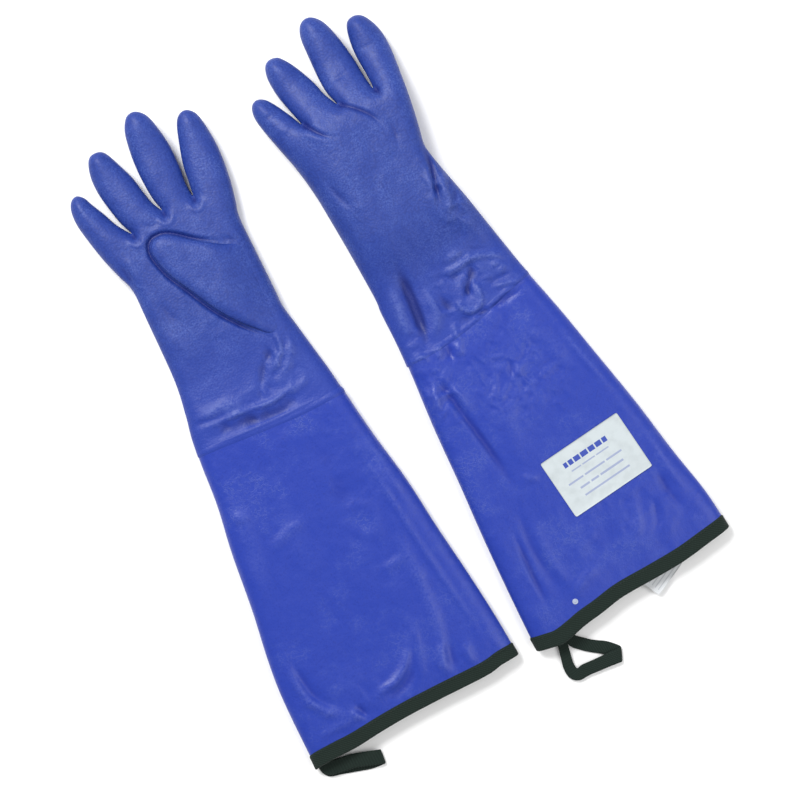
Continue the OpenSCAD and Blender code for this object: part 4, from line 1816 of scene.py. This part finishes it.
    @staticmethod
    def add_uv(obj: bpy.types.Object, points: Array, columns: int) -> None:
        """Adds a UV map that measures mm along and across a strip.

        Args:
            obj: The strip.
            points: Its points, row after row.
            columns: Points in a row.
        """
        grid = points.reshape(-1, columns, 3)
        u = np.cumsum(np.linalg.norm(np.diff(grid, axis=1, prepend=grid[:, :1]), axis=2), axis=1)
        v = np.cumsum(np.linalg.norm(np.diff(grid, axis=0, prepend=grid[:1]), axis=2), axis=0)
        flat = np.stack([u.mean(0)[None].repeat(len(grid), 0), v], -1).reshape(-1, 2)
        layer = obj.data.uv_layers.new(name="tape")
        loops = np.empty(len(obj.data.loops), int)
        obj.data.loops.foreach_get("vertex_index", loops)
        layer.data.foreach_set("uv", flat[loops].astype(np.float32).reshape(-1))

    def surface(self, xy: Array) -> Array:
        """Points of the sleeve's top face.

        Args:
            xy: Points in plan, n x 2.

        Returns:
            The same places on the cloth, n x 3.
        """
        y = xy[:, 1]
        flat = np.column_stack([xy, 2.0 * self.pattern.half_height(y) + self.pattern.gap(y)])
        return self.wrinkle(flat, np.ones(len(flat)))

    def build_stitches(self) -> None:
        """Makes the run of stitches along the inner edge of the binding, on both faces."""
        points, faces = [], []
        margin, above_cloth, above_table, dip = 9.0, 1.15, 0.75, 0.3
        along = np.array([-1.2, -0.5, 0.5, 1.2])
        ends = np.array([-1.0, 0.0, 0.0, -1.0])
        low, high = self.pattern.edges(np.array([10.0]))
        for face in (1.0, -1.0):
            for x in np.arange(low[0] + margin, high[0] - margin, self.stitch_pitch):
                y = self.stitch_line + float(self.pattern.cuff_at(x))
                top = self.surface(np.array([[x, y]]))[0, 2] + above_cloth
                z = top if face > 0 else above_table
                rise = float(self.pattern.cuff_at(x + 1.0) - self.pattern.cuff_at(x - 1.0)) / 2.0
                direction = np.array([1.0, rise, 0.0]) / math.hypot(1.0, rise)
                stitch, quads = tube(
                    np.array([x, y, z]) + direction * along[:, None]
                    + np.array([0.0, 0.0, dip]) * ends[:, None] * face,
                    self.thread_radius, 6)
                faces.append(quads + sum(len(p) for p in points))
                points.append(stitch)
        obj = mesh_object(
            f"{self.name}_binding_stitches", self.frame.to_row(np.concatenate(points)),
            np.concatenate(faces), self.finishes.thread)
        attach(obj, self.frame.body("cuff"))

    def build(self) -> None:
        """Makes the whole glove."""
        self.build_hand()
        self.build_sleeve()
        self.build_band()
        self.build_binding()
        self.build_stitches()


# ---------------------------------------------------------------- tapes, label and stud


def tube(path: Array, radius: float, sides: int) -> tuple[Array, Array]:
    """Round tube along a path, closed to a point at both ends.

    Args:
        path: Points along the middle, mm.
        radius: Radius, mm.
        sides: Number of sides.

    Returns:
        Points and quads.
    """
    along = np.gradient(path, axis=0)
    along /= np.linalg.norm(along, axis=1)[:, None]
    across = np.cross(along, [0.0, 0.0, 1.0])
    across /= np.maximum(np.linalg.norm(across, axis=1), 1e-9)[:, None]
    up = np.cross(across, along)
    angle = np.arange(sides) / sides * 2 * math.pi
    girth = np.full(len(path), radius)
    girth[[0, -1]] = radius * 0.05
    ring = across[:, None] * np.cos(angle)[None, :, None] + up[:, None] * np.sin(angle)[None, :, None]
    points = path[:, None] + ring * girth[:, None, None]
    return points.reshape(-1, 3), grid_faces(len(path), sides, True)


@dataclass(frozen=True)
class TapeLoop:
    """A loop of flat tape sewn under the binding.

    Attributes:
        stations: x, y and z of the middle, the width's direction in degrees, and the width, mm.
        tack: Middle of the bar of stitches that holds the root, x, y and z, mm.
        bend: Where the bend by the root begins and ends, from the tack, mm.
        thickness: Thickness of the doubled tape, mm.
        groove: Depth of the stitched lines along the tape, as a share of its thickness.
        ripple: Height of the tape's own waviness, mm.
        clearance: Least height above the table, mm.
    """

    stations: tuple[tuple[float, float, float, float, float], ...]
    tack: tuple[float, float, float]
    bend: Point2
    thickness: float = 1.3
    groove: float = 0.16
    ripple: float = 0.35
    clearance: float = 0.25

    def curve(self, step: float = 1.5) -> Array:
        """Stations closely spaced along the tape.

        Args:
            step: Distance between them, mm.

        Returns:
            Stations, n x 5.
        """
        p = np.array(self.stations, float)
        out = []
        for i in range(len(p) - 1):
            a, b, c, d = p[max(i - 1, 0)], p[i], p[i + 1], p[min(i + 2, len(p) - 1)]
            count = max(2, int(np.linalg.norm((c - b)[:3]) / step))
            out += [between(a, b, c, d, t) for t in np.arange(count) / count]
        out.append(p[-1])
        return np.array(out)

    def build(self, glove: Glove) -> None:
        """Makes the loop and its tack.

        Args:
            glove: The glove it hangs on.
        """
        line = self.curve()
        along = np.gradient(line[:, :3], axis=0)
        along /= np.linalg.norm(along, axis=1)[:, None]
        angle = np.radians(line[:, 3])
        across = np.column_stack([np.cos(angle), np.sin(angle), np.zeros(len(angle))])
        normal = np.cross(along, across)
        normal /= np.maximum(np.linalg.norm(normal, axis=1), 1e-9)[:, None]
        place = np.linspace(-0.5, 0.5, 11)
        crown = np.array([0.35, 0.92] + [1.0] * 7 + [0.92, 0.35])
        crown[[2, -3]] -= self.groove
        section = [(u, +0.5 * g) for u, g in zip(place, crown)]
        section += [(u, -0.5 * g) for u, g in zip(place[::-1], crown[::-1])]
        ring = np.array([
            line[:, :3] + across * (u * line[:, 4])[:, None] + normal * (h * self.thickness)
            for u, h in section]).transpose(1, 0, 2)
        waves = Noise(21, 9.0).at(ring.reshape(-1, 3)).reshape(ring.shape[:2])
        ring[:, :, 2] += waves * self.ripple
        ring[:, :, 2] += max(0.0, self.clearance - float(ring[:, :, 2].min()))
        points = ring.reshape(-1, 3)
        quads = grid_faces(len(line), len(section), True)
        obj = mesh_object(
            f"{glove.name}_tape_loop", glove.frame.to_row(points), quads[:, ::-1], glove.finishes.tape)
        Glove.add_uv(obj, points, len(section))
        self.hang(obj, glove)
        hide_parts(f"{glove.name}_hanging_loop")
        self.build_tack(glove)

    def hang(self, obj: bpy.types.Object, glove: Glove) -> None:
        """Bakes a piece's transform into its mesh.

        Args:
            obj: The piece.
            glove: The glove that it hangs on.
        """
        x, y, _ = self.tack
        glove.frame.body("cuff")
        glove.frame.body("loop")
        glove.frame.point(x, y + self.bend[0])
        glove.frame.point(x, y + self.bend[1])
        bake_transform(obj)

    def build_tack(self, glove: Glove) -> None:
        """Makes the bar of close zigzag stitches at the root.

        Args:
            glove: The glove that it is sewn to.
        """
        x, y, z = self.tack
        half_length, pitch, half_width, thread_radius = 4.4, 0.4, 0.9, 0.26
        turns = np.arange(23)
        sway = np.where(turns % 2 == 0, -half_width, half_width)
        zigzag = np.column_stack([x - half_length + turns * pitch, y + sway, np.full(len(turns), z)])
        points, quads = tube(zigzag, thread_radius, 6)
        obj = mesh_object(
            f"{glove.name}_loop_bar_tack", glove.frame.to_row(points), quads, glove.finishes.thread)
        self.hang(obj, glove)
        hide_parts(f"{glove.name}_loop_tack")


RIGHT_LOOP = TapeLoop(
    ((-101, 1, 3.6, -20, 10), (-102.5, -7, 2.4, -14, 10.5), (-102, -13, 1.6, 8, 11.5),
     (-98.5, -17.8, 1.3, 52, 13.2), (-90, -19.6, 1.2, 78, 13.6), (-76, -23.2, 1.2, 72, 13.6),
     (-62, -26.8, 1.2, 74, 13.4), (-52, -27.6, 1.4, 82, 13.4), (-48.6, -26.8, 3.4, 86, 14),
     (-52, -25.6, 5.4, 84, 14), (-62, -22.6, 5.6, 76, 14), (-76, -18.8, 5.3, 80, 13.8),
     (-90, -17.0, 5.2, 84, 13.6), (-98.5, -15.4, 5.4, 54, 13), (-101.8, -10, 5.8, 6, 11.5),
     (-101.5, -3, 5.6, -14, 10.5)),
    (-101.0, -5.5, 6.9),
    (-3.0, -11.0),
)
LEFT_LOOP = TapeLoop(
    ((-80, -8, 3.4, 49, 10), (-76.5, -18.5, 2.6, 49, 11.5), (-69, -27, 2.0, 49, 12),
     (-62, -33.3, 1.6, 49, 12), (-53, -40, 1.4, 52, 12.5), (-46, -47.2, 1.5, 61, 13),
     (-42.4, -52.5, 3.1, 66, 13.6), (-46, -52.6, 4.6, 72, 13), (-55, -51.4, 4.7, 84, 12.6),
     (-68, -50.2, 4.2, 88, 12.0), (-79, -49.0, 3.8, 90, 12.0), (-86.5, -49.2, 3.6, 66, 12.0),
     (-90.6, -45.6, 3.5, 22, 11.4), (-91.0, -38, 3.5, -10, 10.6), (-88.8, -29, 3.6, -16, 10.0),
     (-86, -18, 3.8, -12, 9.6), (-84.5, -7, 4.0, -6, 9.6)),
    (-82.5, -9.0, 5.4),
    (-5.0, -17.0),
)


@dataclass(frozen=True)
class ClothPatch:
    """A thin patch with a printed face.

    Attributes:
        middle: Centre, mm.
        size: Width and height, mm.
        turn: Turn about +Z, degrees.
    """

    middle: Point2
    size: Point2
    turn: float

    def grid(self, columns: int, rows: int) -> tuple[Array, Array]:
        """Lays a grid of points over the patch.

        Args:
            columns: Points in a row.
            rows: Number of rows.

        Returns:
            Points in plan, mm, and their place from 0 to 1 across and up the patch.
        """
        u, v = np.meshgrid(np.linspace(0, 1, columns), np.linspace(0, 1, rows))
        uv = np.column_stack([u.reshape(-1), v.reshape(-1)])
        flat = (uv - 0.5) * np.array(self.size)
        rounding = 1.5
        corner = np.clip(np.abs(flat) - np.array(self.size) / 2 + rounding, 0.0, None)
        flat -= np.sign(flat) * corner * (corner.min(1) / rounding * 0.3)[:, None]
        c, s = math.cos(math.radians(self.turn)), math.sin(math.radians(self.turn))
        return flat @ np.array([[c, s], [-s, c]]) + np.array(self.middle), uv

    def slab(
        self, name: str, top: Array, bottom: Array, uv: Array, columns: int, glove: Glove,
        finish: bpy.types.Material,
    ) -> bpy.types.Object:
        """Closed thin mesh between two grids of points.

        Args:
            name: Name of the piece.
            top: Upper points, mm.
            bottom: Lower points, mm.
            uv: Place of each point on the print.
            columns: Points in a row.
            glove: The glove that it is on.
            finish: Its material.

        Returns:
            The object.
        """
        rows = len(top) // columns
        number = np.arange(rows * columns).reshape(rows, columns)
        rim = np.concatenate([number[0, :-1], number[:-1, -1], number[-1, :0:-1], number[:0:-1, 0]])
        after = np.roll(rim, -1)
        faces = grid_faces(rows, columns, False)
        count = len(top)
        sides = np.stack([rim, rim + count, after + count, after], 1)[:, ::-1]
        quads = np.concatenate([faces, faces[:, ::-1] + count, sides])
        obj = mesh_object(name, glove.frame.to_row(np.concatenate([top, bottom])), quads, finish)
        layer = obj.data.uv_layers.new(name="print")
        loops = np.empty(len(obj.data.loops), int)
        obj.data.loops.foreach_get("vertex_index", loops)
        layer.data.foreach_set("uv", np.concatenate([uv, uv])[loops].astype(np.float32).reshape(-1))
        return obj

    def build_label(self, glove: Glove) -> None:
        """Makes the printed label on the sleeve.

        Args:
            glove: The glove.
        """
        columns, rows = 66, 48
        plan, uv = self.grid(columns, rows)
        base = glove.surface(plan)
        edge = np.minimum(np.minimum(uv[:, 0], 1 - uv[:, 0]) * self.size[0],
                          np.minimum(uv[:, 1], 1 - uv[:, 1]) * self.size[1])
        stand, under, curl_reach, curl_height = 0.75, 0.2, 1.5, 0.25
        curl = np.exp(-edge / curl_reach) * curl_height
        top = base + np.column_stack([np.zeros((len(base), 2)), stand + curl])
        bottom = base + np.array([0.0, 0.0, under])
        obj = self.slab("left_printed_label", top, bottom, uv, columns, glove, glove.finishes.label)
        glove.bend_sleeve(obj)
        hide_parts("left_label")

    def build_tag(self, glove: Glove, height: float) -> None:
        """Makes the care tag that sticks out of the mouth.

        Args:
            glove: The glove.
            height: Height of its sewn edge, mm.
        """
        columns, rows = 28, 22
        plan, uv = self.grid(columns, rows)
        wave, crinkle, sag, half_thick = 1.4, 0.4, 3.2, 0.2
        small = Noise(31, 14.0).at(np.column_stack([plan, np.zeros(len(plan))])) * crinkle
        bend = wave * np.sin(uv[:, 0] * 3.4 + 0.6) * (1.0 - uv[:, 1]) + small
        droop = sag * smoothstep(0.1, 0.7, 1.0 - uv[:, 1])
        top = np.column_stack([plan, height + bend - droop + half_thick])
        bottom = np.column_stack([plan, height + bend - droop - half_thick])
        obj = self.slab("left_sewn_care_tag", top, bottom, uv, columns, glove, glove.finishes.tag)
        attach(obj, glove.frame.body("tag"))
        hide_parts("left_care_tag")


@dataclass(frozen=True)
class PressStud:
    """A small domed stud.

    Attributes:
        middle: Place on the sleeve, mm.
        radius: Radius of its rim, mm.
        profile: Half section as shares of the radius and heights, mm, from the underside's middle.
        sink: How far the profile's zero stands above the cloth, mm.
        steps: Faces round it.
    """

    middle: Point2
    radius: float
    profile: tuple[Point2, ...] = (
        (0.0, -0.3), (1.0, -0.3), (1.0, 0.35), (0.93, 0.62), (0.8, 0.7), (0.68, 0.6), (0.6, 0.38),
        (0.52, 0.42), (0.45, 0.72), (0.3, 0.95), (0.14, 1.03), (0.0, 1.05))
    sink: float = 0.3
    steps: int = 40

    def build(self, glove: Glove) -> None:
        """Makes the stud: a rim, a groove and a domed middle, turned about its axis.

        Args:
            glove: The glove that it is on.
        """
        shape = bmesh.new()
        line = [shape.verts.new((self.radius * share, 0.0, height)) for share, height in self.profile]
        edges = [shape.edges.new(pair) for pair in zip(line[:-1], line[1:])]
        bmesh.ops.spin(
            shape, geom=line + edges, cent=(0, 0, 0), axis=(0, 0, 1), dvec=(0, 0, 0),
            angle=2 * math.pi, steps=self.steps, use_merge=True)
        bmesh.ops.remove_doubles(shape, verts=shape.verts[:], dist=self.radius * MM)
        bmesh.ops.recalc_face_normals(shape, faces=shape.faces[:])
        shape.verts.index_update()
        points = np.array([vert.co[:] for vert in shape.verts])
        faces = [tuple(vert.index for vert in face.verts) for face in shape.faces]
        shape.free()
        seat = glove.surface(np.array([self.middle]))[0, 2] + self.sink
        points += np.array([*self.middle, seat])
        obj = mesh_object("left_press_stud", glove.frame.to_row(points), faces, glove.finishes.stud)
        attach(obj, glove.frame.body("cuff"))
        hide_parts("left_stud")


LABEL = ClothPatch((23.8, 113.8), (85.5, 59.5), 4.5)
CARE_TAG = ClothPatch((26.3, -0.6), (38.0, 30.0), 24.0)
CARE_TAG_HEIGHT = 7.9
STUD = PressStud((-56.0, 13.0), 2.7)


# ---------------------------------------------------------------- floor, light and camera


@dataclass(frozen=True)
class Studio:
    """Pale floor, soft light and the camera straight above.

    Attributes:
        target: Point of the floor in the middle of the picture, m.
        up: Direction of the floor that is up in the picture.
        height: Height of the camera, m.
        view_width: Width of floor that the camera sees, m.
        floor_reach: Distance from the origin to the floor's edges, m.
        sensor: Width of the camera's sensor, mm.
    """

    target: Point2 = (-0.0095, -0.0231)
    up: Point2 = (0.418, 0.908)
    height: float = 2.2
    view_width: float = 0.75
    floor_reach: float = 4.0
    sensor: float = 36.0

    def floor(self) -> None:
        """Makes the floor."""
        shape = bmesh.new()
        bmesh.ops.create_grid(shape, x_segments=1, y_segments=1, size=self.floor_reach)
        mesh = bpy.data.meshes.new("floor")
        shape.to_mesh(mesh)
        shape.free()
        s = Shader("paper_floor")
        s.set(Base_Color=(0.93, 0.93, 0.93, 1.0), Roughness=0.9, Specular_IOR_Level=0.1)
        mesh.materials.append(s.material)
        obj = bpy.data.objects.new("floor", mesh)
        bpy.context.scene.collection.objects.link(obj)

    def place(self, right: float, up: float, height: float) -> Vector:
        """Point given by its place in the picture.

        Args:
            right: How far it is to the right of the middle, m.
            up: How far it is above the middle, m.
            height: Height above the floor, m.

        Returns:
            The point.
        """
        x = self.target[0] + self.up[1] * right + self.up[0] * up
        y = self.target[1] - self.up[0] * right + self.up[1] * up
        return Vector((x, y, height))

    def lamp(self, name: str, spot: tuple[float, float, float], size: float, watts: float) -> None:
        """Adds one soft square lamp that faces the middle of the picture.

        Args:
            name: Name of the lamp.
            spot: Its place to the right and up, and its height, m.
            size: Width of the lamp, m.
            watts: Its power.
        """
        data = bpy.data.lights.new(name, "AREA")
        data.shape = "SQUARE"
        data.size = size
        data.energy = watts
        obj = bpy.data.objects.new(name, data)
        obj.location = self.place(*spot)
        towards = self.place(0.0, 0.0, 0.0) - obj.location
        obj.rotation_euler = towards.to_track_quat("-Z", "Y").to_euler()
        bpy.context.scene.collection.objects.link(obj)

    def build(self) -> None:
        """Makes the floor, the lamps, the sky and the camera."""
        self.floor()
        self.lamp("key_light", (-1.2, 1.25, 2.15), 1.0, 70.0)
        self.lamp("fill_light", (1.5, -0.2, 1.9), 1.6, 20.0)
        world = bpy.data.worlds.new("sky")
        world.use_nodes = True
        sky = world.node_tree.nodes["Background"]
        sky.inputs["Color"].default_value = (1.0, 1.0, 1.0, 1.0)
        sky.inputs["Strength"].default_value = 0.6
        bpy.context.scene.world = world
        data = bpy.data.cameras.new("overhead")
        data.sensor_width = self.sensor
        data.lens = self.sensor * self.height / self.view_width
        data.clip_end = 20.0
        camera = bpy.data.objects.new("overhead", data)
        camera.location = self.place(0.0, 0.0, self.height)
        camera.rotation_euler = (0.0, 0.0, math.atan2(-self.up[0], self.up[1]))
        bpy.context.scene.collection.objects.link(camera)
        bpy.context.scene.camera = camera
        bpy.context.scene.view_settings.view_transform = "Standard"


def main() -> None:
    """Builds the pair of gloves, the floor and the light."""
    logging.basicConfig(level=logging.INFO, format="%(name)s: %(message)s")
    finishes = Finishes()
    right = Glove(RIGHT_PATTERN, finishes)
    left = Glove(LEFT_PATTERN, finishes)
    for glove, loop in ((right, RIGHT_LOOP), (left, LEFT_LOOP)):
        glove.build()
        loop.build(glove)
    LABEL.build_label(left)
    CARE_TAG.build_tag(left, CARE_TAG_HEIGHT)
    STUD.build(left)
    Studio().build()


if __name__ == "__main__":
    main()
